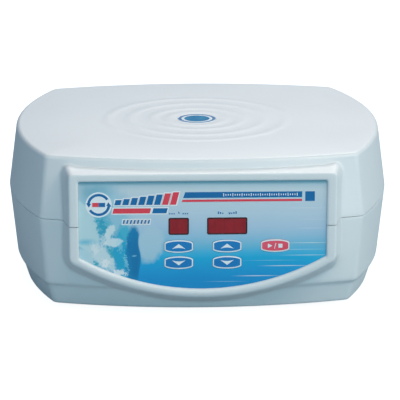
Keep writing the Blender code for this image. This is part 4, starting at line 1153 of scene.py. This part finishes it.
def grown(corners, by):
    # a convex outline pushed out on every side
    middleX = sum(x for x, _ in corners) / len(corners)
    middleZ = sum(z for _, z in corners) / len(corners)
    return [(x + copysign(by, x - middleX), z + copysign(by, z - middleZ)) for x, z in corners]


def slanted(x, z, width, height, lean):
    return [(x, z), (x + width, z), (x + width + lean * height, z + height), (x + lean * height, z + height)]


def arcPoints(x, z, radius, angles):
    return [(x + radius * cos(angle), z + radius * sin(angle)) for angle in angles]


def drawTurn(draw):
    # stirring: two arrows that chase each other round a bar magnet
    white, navy, red = range(3)
    turn = marks["turn"]
    x, z, outside = turn["x"], turn["z"], turn["ring"]
    inside = outside - turn["band"]
    middle = (outside + inside) / 2
    draw(arcPoints(x, z, turn["disc"], spread(0.0, 2 * pi, 61)[:-1]), white, 1)
    for start in (0.0, pi):
        sweep = spread(start + turn["gap"], start + pi - turn["end"], 20)
        draw(arcPoints(x, z, outside, sweep) + arcPoints(x, z, inside, reversed(sweep)), navy, 2)
        barbs = [arcPoints(x, z, middle + side * turn["barb"], sweep[-1:])[0] for side in (1, -1)]
        draw(barbs + arcPoints(x, z, middle, [sweep[-1] + turn["tip"]]), navy, 2)
    half, tall = turn["bar"]
    draw(slanted(x - half, z - tall, half, 2 * tall, 0.0), red, 3)
    draw(slanted(x, z - tall, half, 2 * tall, 0.0), navy, 3)


def drawLabels(draw):
    # over the time window two hands between rows of dots, over the speed window an arrow between rising bars
    navy = 1
    label = marks["label"]
    z, dot = label["z"], label["dot"]
    (timeX, _), (speedX, _) = (panel["windows"][name] for name in ("time", "speed"))
    draw(slanted(timeX - 0.35, z - 0.35, 0.7, 1.7, 0.0), navy, 1)
    draw(slanted(timeX - 0.35, z - 0.35, 1.4, 0.7, 0.0), navy, 1)
    draw([(speedX + x, z + up) for x, up in label["arrow"]], navy, 1.5)
    for x, rise in ((timeX, 0.0), (speedX, label["rise"])):
        for index in range(label["count"]):
            for side in (-1, 1):
                left = x + side * (label["first"] + label["step"] * index) - dot / 2
                draw(slanted(left, z - label["drop"], dot, dot + rise * index, 0.0), navy, 1)


def makePanelMarks(inks):
    white, navy, red, pale = range(4)
    bm = bmesh.new()

    def draw(corners, ink, layer, rounding=0.0):
        inkShape(bm, corners, ink, panel["frontY"] + panel["inkSink"], layer * panel["inkDepth"], rounding)

    def outlined(corners, ink):
        draw(grown(corners, marks["outline"]), white, 1, 0.4)
        draw(corners, ink, 2, 0.15)
    for *corners, ink in marks["stripes"]:
        draw(corners, ink, 2)
    draw(marks["stripeEdge"], pale, 1)
    rule = marks["scaleMarks"]
    wide = rule["width"]
    for index, x in enumerate(spread(rule["from"], rule["to"], rule["count"])):
        tall = rule["tall"] if index % 4 == 0 else rule["short"]
        draw(slanted(x - wide / 2, rule["z"] - tall / 2, wide, tall, 0.0), white, 3)
    drawTurn(draw)
    meter = marks["meter"]
    for index in range(meter["count"]):
        left, tall = meter["x"] + meter["step"] * index, meter["first"] + meter["rise"] * index
        ink = red if index >= meter["count"] - 2 else navy
        outlined(slanted(left, meter["z"], meter["width"], tall, meter["lean"]), ink)
    for *corners, ink in marks["bars"]:
        outlined(corners, ink)
    ticks = marks["ticks"]
    for index in range(ticks["count"]):
        left, low = ticks["x"] + ticks["step"] * index, ticks["z"] - ticks["height"] / 2
        outlined(slanted(left, low, ticks["width"], ticks["height"], ticks["lean"]), navy)
    drawLabels(draw)
    finishPiece(bm, "panelMarks", "base", inks)


# radius of each printed ring on the badge, and its ink: 0 white, 1 navy, 2 pale, 3 blue
badge = {"radius": 17.6, "low": 142.1, "top": 143.2, "edge": 0.3,
         "rings": ((17.25, 1), (14.4, 0), (13.4, 2), (12.6, 0), (11.9, 3))}


def makeBadge(inks):
    radius, low, top, edge = (badge[key] for key in ("radius", "low", "top", "edge"))
    bm = turned([(0.0, low), (radius, low), (radius, top - edge), (radius - edge, top)], steps=96)
    rim = [item for item in bm.edges if item.is_boundary]
    face = bmesh.ops.contextual_create(bm, geom=rim)["faces"][0]
    faceOut(bm)
    outer = radius - edge
    for inner, ink in badge["rings"]:
        bmesh.ops.inset_region(bm, faces=[face], thickness=outer - inner, use_even_offset=True)
        face.material_index = ink
        outer = inner
    finishPiece(bm, "centreBadge", "base", inks, ["centre_badge"])


def crossKnife(centre, half, thick, low, high):
    # the driver's cross in a screw head
    bm = bmesh.new()
    corners = [(half, thick), (thick, thick), (thick, half), (-thick, half), (-thick, thick), (-half, thick)]
    corners += [(-x, -y) for x, y in corners]
    bm.faces.new([bm.verts.new((centre[0] + x, centre[1] + y, low)) for x, y in corners])
    for vert in vertsOf(bmesh.ops.extrude_face_region(bm, geom=bm.faces[:], use_keep_orig=True)["geom"]):
        vert.co.z = high
    faceOut(bm)
    return bm


cornerNames = ("front_left", "front_right", "rear_left", "rear_right")


def makeFeet(rubber, steel):
    # a moulded foot: ribbed tread, a ring groove and a sunk screw
    profile = [(0.0, 3.2), (3.4, 3.2), (3.4, 0.9), (3.9, 0.5), (5.6, 0.35), (5.9, 0.9), (6.7, 0.9),
               (7.0, 0.15), (7.6, 0.0), (8.4, 0.0), (8.7, 0.5), (9.2, 0.5), (9.5, 0.1), (9.9, 0.05),
               (10.5, 0.5), (10.75, 1.2), (10.8, 3.6), (11.1, 4.0), (11.3, 4.6), (11.3, 6.2), (0.0, 6.2)]
    head = [(0.0, 1.6), (1.6, 1.65), (2.5, 1.95), (3.0, 2.5), (3.0, 3.3), (0.0, 3.3)]
    for name, centre in zip(cornerNames, fourCorners(under["footAt"])):
        label = name.replace("_", "-")
        finishPiece(turned(profile, centre), "foot-" + label, "base", [rubber],
                    ["foot_" + name])
        finishPiece(turned(head, centre, 32), "footScrew-" + label, "base", [steel],
                    cutter=crossKnife(centre, 1.7, 0.35, 0.5, 2.6))


def makeHousingScrews(steel):
    # pan heads with a crossed recess, far up in their holes, and a coarse thread
    profile = [(0.0, 56.4), (2.6, 56.45), (3.5, 56.9), (4.0, 57.9), (4.0, 59.7), (1.95, 59.7), (1.95, 65.5)]
    pitch = 1.3
    for turn in range(29):
        profile += [(1.55, 66.0 + pitch * turn), (1.95, 66.65 + pitch * turn)]
    profile += [(1.6, 104.2), (0.0, 107.8)]
    for name, centre in zip(cornerNames, fourCorners(under["screwAt"])):
        label = name.replace("_", "-")
        finishPiece(turned(profile, centre, 24), "housingScrew-" + label, "base", [steel],
                    ["housing_screw_" + name], cutter=crossKnife(centre, 2.1, 0.45, 55.0, 58.0))


# sizes of the power socket and the mains switch, in millimetres from the centre of each
rear = {
    "seatY": 164.8, "z": 54.0, "backY": 142.0, "corner": 2.6, "edge": 0.5, "cutterY": 175.0,
    "socket": {"x": 24.0, "half": (25.0, 17.0), "frontY": 167.0, "body": (13.7, 14.7), "node": "power_inlet",
               "mouth": ((-12.0, -4.5), (12.0, -4.5), (12.0, 7.5), (8.0, 12.0), (-8.0, 12.0), (-12.0, 7.5)),
               "mouthY": 150.5, "slot": (12.3, -13.3, -5.7), "slotY": 147.5},
    "switch": {"x": -28.0, "half": (9.5, 13.0), "frontY": 166.8, "body": (7.2, 10.7), "node": "switch_body",
               "mouth": ((-5.9, -9.4), (5.9, -9.4), (5.9, 9.4), (-5.9, 9.4)), "mouthY": 152.0},
    "rocker": {"half": 5.4, "pivotY": 161.5, "tilt": 9.0, "round": 0.45, "inkDepth": 0.06},
    "screwAt": 19.8,
}


def makeFitting(name, label, plastic):
    # a panel fitting: rounded flange, body behind it, and the mouth cut through both
    part = rear[name]
    x, z = part["x"], rear["z"]
    halfX, halfZ = part["half"]
    bodyX, bodyZ = part["body"]

    def mouth():
        bm = bmesh.new()
        bm.faces.new([bm.verts.new((x + a, part["mouthY"], z + b)) for a, b in part["mouth"]])
        extrudeBack(bm, rear["cutterY"])
        if "slot" in part:
            half, low, high = part["slot"]
            addTo(bm, block((x - half, x + half), (part["slotY"], rear["cutterY"]), (z + low, z + high)))
        return bm
    flange = block((x - halfX, x + halfX), (rear["seatY"], part["frontY"]), (z - halfZ, z + halfZ))
    roundCorners(flange, rear["corner"], 6)
    face = [edge for edge in flange.edges if all(abs(v.co.y - part["frontY"]) < 0.01 for v in edge.verts)]
    bevelEdges(flange, face, rear["edge"], 3)
    finishPiece(flange, label, "base", [plastic], [part["node"]], cutter=mouth())
    body = block((x - bodyX, x + bodyX), (rear["backY"], rear["seatY"]), (z - bodyZ, z + bodyZ))
    finishPiece(body, label + "Body", "base", [plastic], cutter=mouth(), rounding=0.4)


def rockerFace(z):
    # how far back the rocker's rounded front lies, at a height from its pivot
    swing = abs(pi / 2 - np.arccos(max(-1.0, min(1.0, z / 8.4))))
    return float(6.2 * cos(swing) - 0.8 * swing / (pi * 3 / 9.4))


def makeRocker(plastic, white):
    part, x = rear["rocker"], rear["switch"]["x"]
    bm = bmesh.new()
    front = [(rockerFace(z), z) for z in spread(7.05, -7.05, 33)]
    outline = front + [(-2.5, -5.5), (-4.0, 0.0), (-2.5, 5.5)]
    bm.faces.new([bm.verts.new((x - part["half"], y, z)) for y, z in outline])
    for vert in vertsOf(bmesh.ops.extrude_face_region(bm, geom=bm.faces[:], use_keep_orig=True)["geom"]):
        vert.co.x = x + part["half"]
    faceOut(bm)
    sides = [edge for edge in bm.edges if abs(edge.verts[0].co.x - edge.verts[1].co.x) < 0.01]
    bevelEdges(bm, sides, part["round"], 3)
    # the on stroke and the off ring, laid on the rounded front
    stroke = wrapGrid((-0.35, 0.35), spread(2.6, 5.6, 8), lambda a, z: (x + a, rockerFace(z) + 0.04, z))
    ring = wrapGrid(spread(0.0, 2 * pi, 33), (1.25, 1.85), lambda a, r: (
        x + r * cos(a), rockerFace(-4.1 + r * sin(a)) + 0.04, -4.1 + r * sin(a)))
    bmesh.ops.remove_doubles(ring, verts=ring.verts, dist=0.001)
    for mark in (stroke, ring):
        raiseInk(mark, mark.faces[:], 1, part["inkDepth"])
        faceOut(mark)
        addTo(bm, mark)
    turnAbout(bm, -radians(part["tilt"]), "X")
    bmesh.ops.translate(bm, verts=bm.verts, vec=(0.0, part["pivotY"], rear["z"]))
    finishPiece(bm, "switchRocker", "rocker", [plastic, white], ["switch_rocker"])


def makeSocketScrews(steel):
    x, z = rear["socket"]["x"], rear["z"]
    y = rear["socket"]["frontY"]
    for label, side in (("left", -1), ("right", 1)):
        screw = turned([(0.0, 0.75), (1.4, 0.7), (2.3, 0.45), (2.75, 0.0), (2.75, -0.3), (0.0, -0.3)], steps=32)
        knife = crossKnife((0.0, 0.0), 1.6, 0.32, 0.15, 2.0)
        for drawing in (screw, knife):
            turnAbout(drawing, -pi / 2, "X")
            bmesh.ops.translate(drawing, verts=drawing.verts, vec=(x + side * rear["screwAt"], y, z + 1.0))
        finishPiece(screw, "socketScrew-" + label, "base", [steel], cutter=knife)


def makeFuse(glass, metal):
    # glass tube between two caps, with its wire inside
    x, y, z = rear["socket"]["x"], 153.5, rear["z"] - 9.0
    tube = turned([(0.0, -9.3), (2.45, -9.3), (2.45, 9.3), (0.0, 9.3)], (x, y, z), 32, True)
    finishPiece(tube, "fuseGlass", "fuse_holder", [glass], ["fuse"])
    caps = turned([(0.0, -5.0), (0.12, -5.0), (0.12, 5.0), (0.0, 5.0)], (x, y, z), 8, True)
    for side in (-1, 1):
        profile = [(0.0, 10.0), (2.35, 10.0), (2.6, 9.6), (2.6, 4.8), (2.46, 4.8), (2.46, 9.4), (0.0, 9.4)]
        addTo(caps, turned([(radius, side * along) for radius, along in profile], (x, y, z), 32, True))
    finishPiece(caps, "fuseCaps", "fuse_holder", [metal])


# the finish of each slot, for the CAD parts that stay
slotFinish = {
    "housing_plastic": "shellPlastic", "badge_print": "badgeBlue", "rubber_black": "footRubber",
    "screw_steel": "zincPlate", "plate_grey": "platePlastic", "overlay_print": "inkNavy",
    "window_red": "frameBlack", "key_blue": "keyBlue", "key_red": "keyRed", "display_black": "displayBlack",
    "cable_grey": "cableGrey",
    "wire_black": "leadBlack", "wire_red": "leadRed", "wire_blue": "leadBlue", "plated_steel": "rolledSteel",
    "core_steel": "coreSteel", "bearing_steel": "groundSteel", "copper_wire": "copperTurns",
    "magnet_nickel": "nickelPlate", "black_plastic": "blackPlastic", "pin_brass": "pinPlate",
    "fuse_glass": "nickelPlate", "transformer_dark": "transformerCore", "heat_sink_black": "blackAnodised",
}


def finishCadParts(made, greenBoard, foilSleeve):
    for row in frame["record"]["subparts"]:
        node = nodes[row["node"]]
        slot = row["material_slot"]
        if slot == "board_green":
            finish = greenBoard
        elif slot == "capacitor_sleeve":
            finish = foilSleeve
        else:
            finish = made[slotFinish[slot]]
        if not node.material_slots:
            node.data.materials.append(finish)
        for place in node.material_slots:
            place.material = finish


made = {name: makeFinish(name) for name in finishes}
makeCamera()
makeStudio()
print("studio ready")
finishCadParts(made, makeBoardGreen(), makeCapacitorSleeve())
print("inner parts finished")
makeTopHousing(made["shellPlastic"])
makeBottomHousing(made["shellPlastic"])
print("housing ready")
makeOverlay(makeArtwork())
windowRed = makeWindowRed()
for name in panel["windows"]:
    makeWindow(name, windowRed, made["frameBlack"])
for name in keys["places"]:
    makeKey(name, made["keyRed" if name == "start_stop_key" else "keyBlue"], made["inkWhite"])
makePanelMarks([made[name] for name in ("inkWhite", "inkNavy", "inkRed", "inkPale")])
print("control panel ready")
makeBadge([made[name] for name in ("inkWhite", "inkNavy", "inkPale", "badgeBlue")])
makeFeet(made["footRubber"], made["zincPlate"])
makeHousingScrews(made["zincPlate"])
makeFitting("socket", "powerInlet", made["blackPlastic"])
makeFitting("switch", "switchBody", made["blackPlastic"])
makeRocker(made["blackPlastic"], made["inkWhite"])
makeSocketScrews(made["zincPlate"])
makeFuse(makeFuseGlass(), made["nickelPlate"])
print("badge, feet and rear fittings ready")
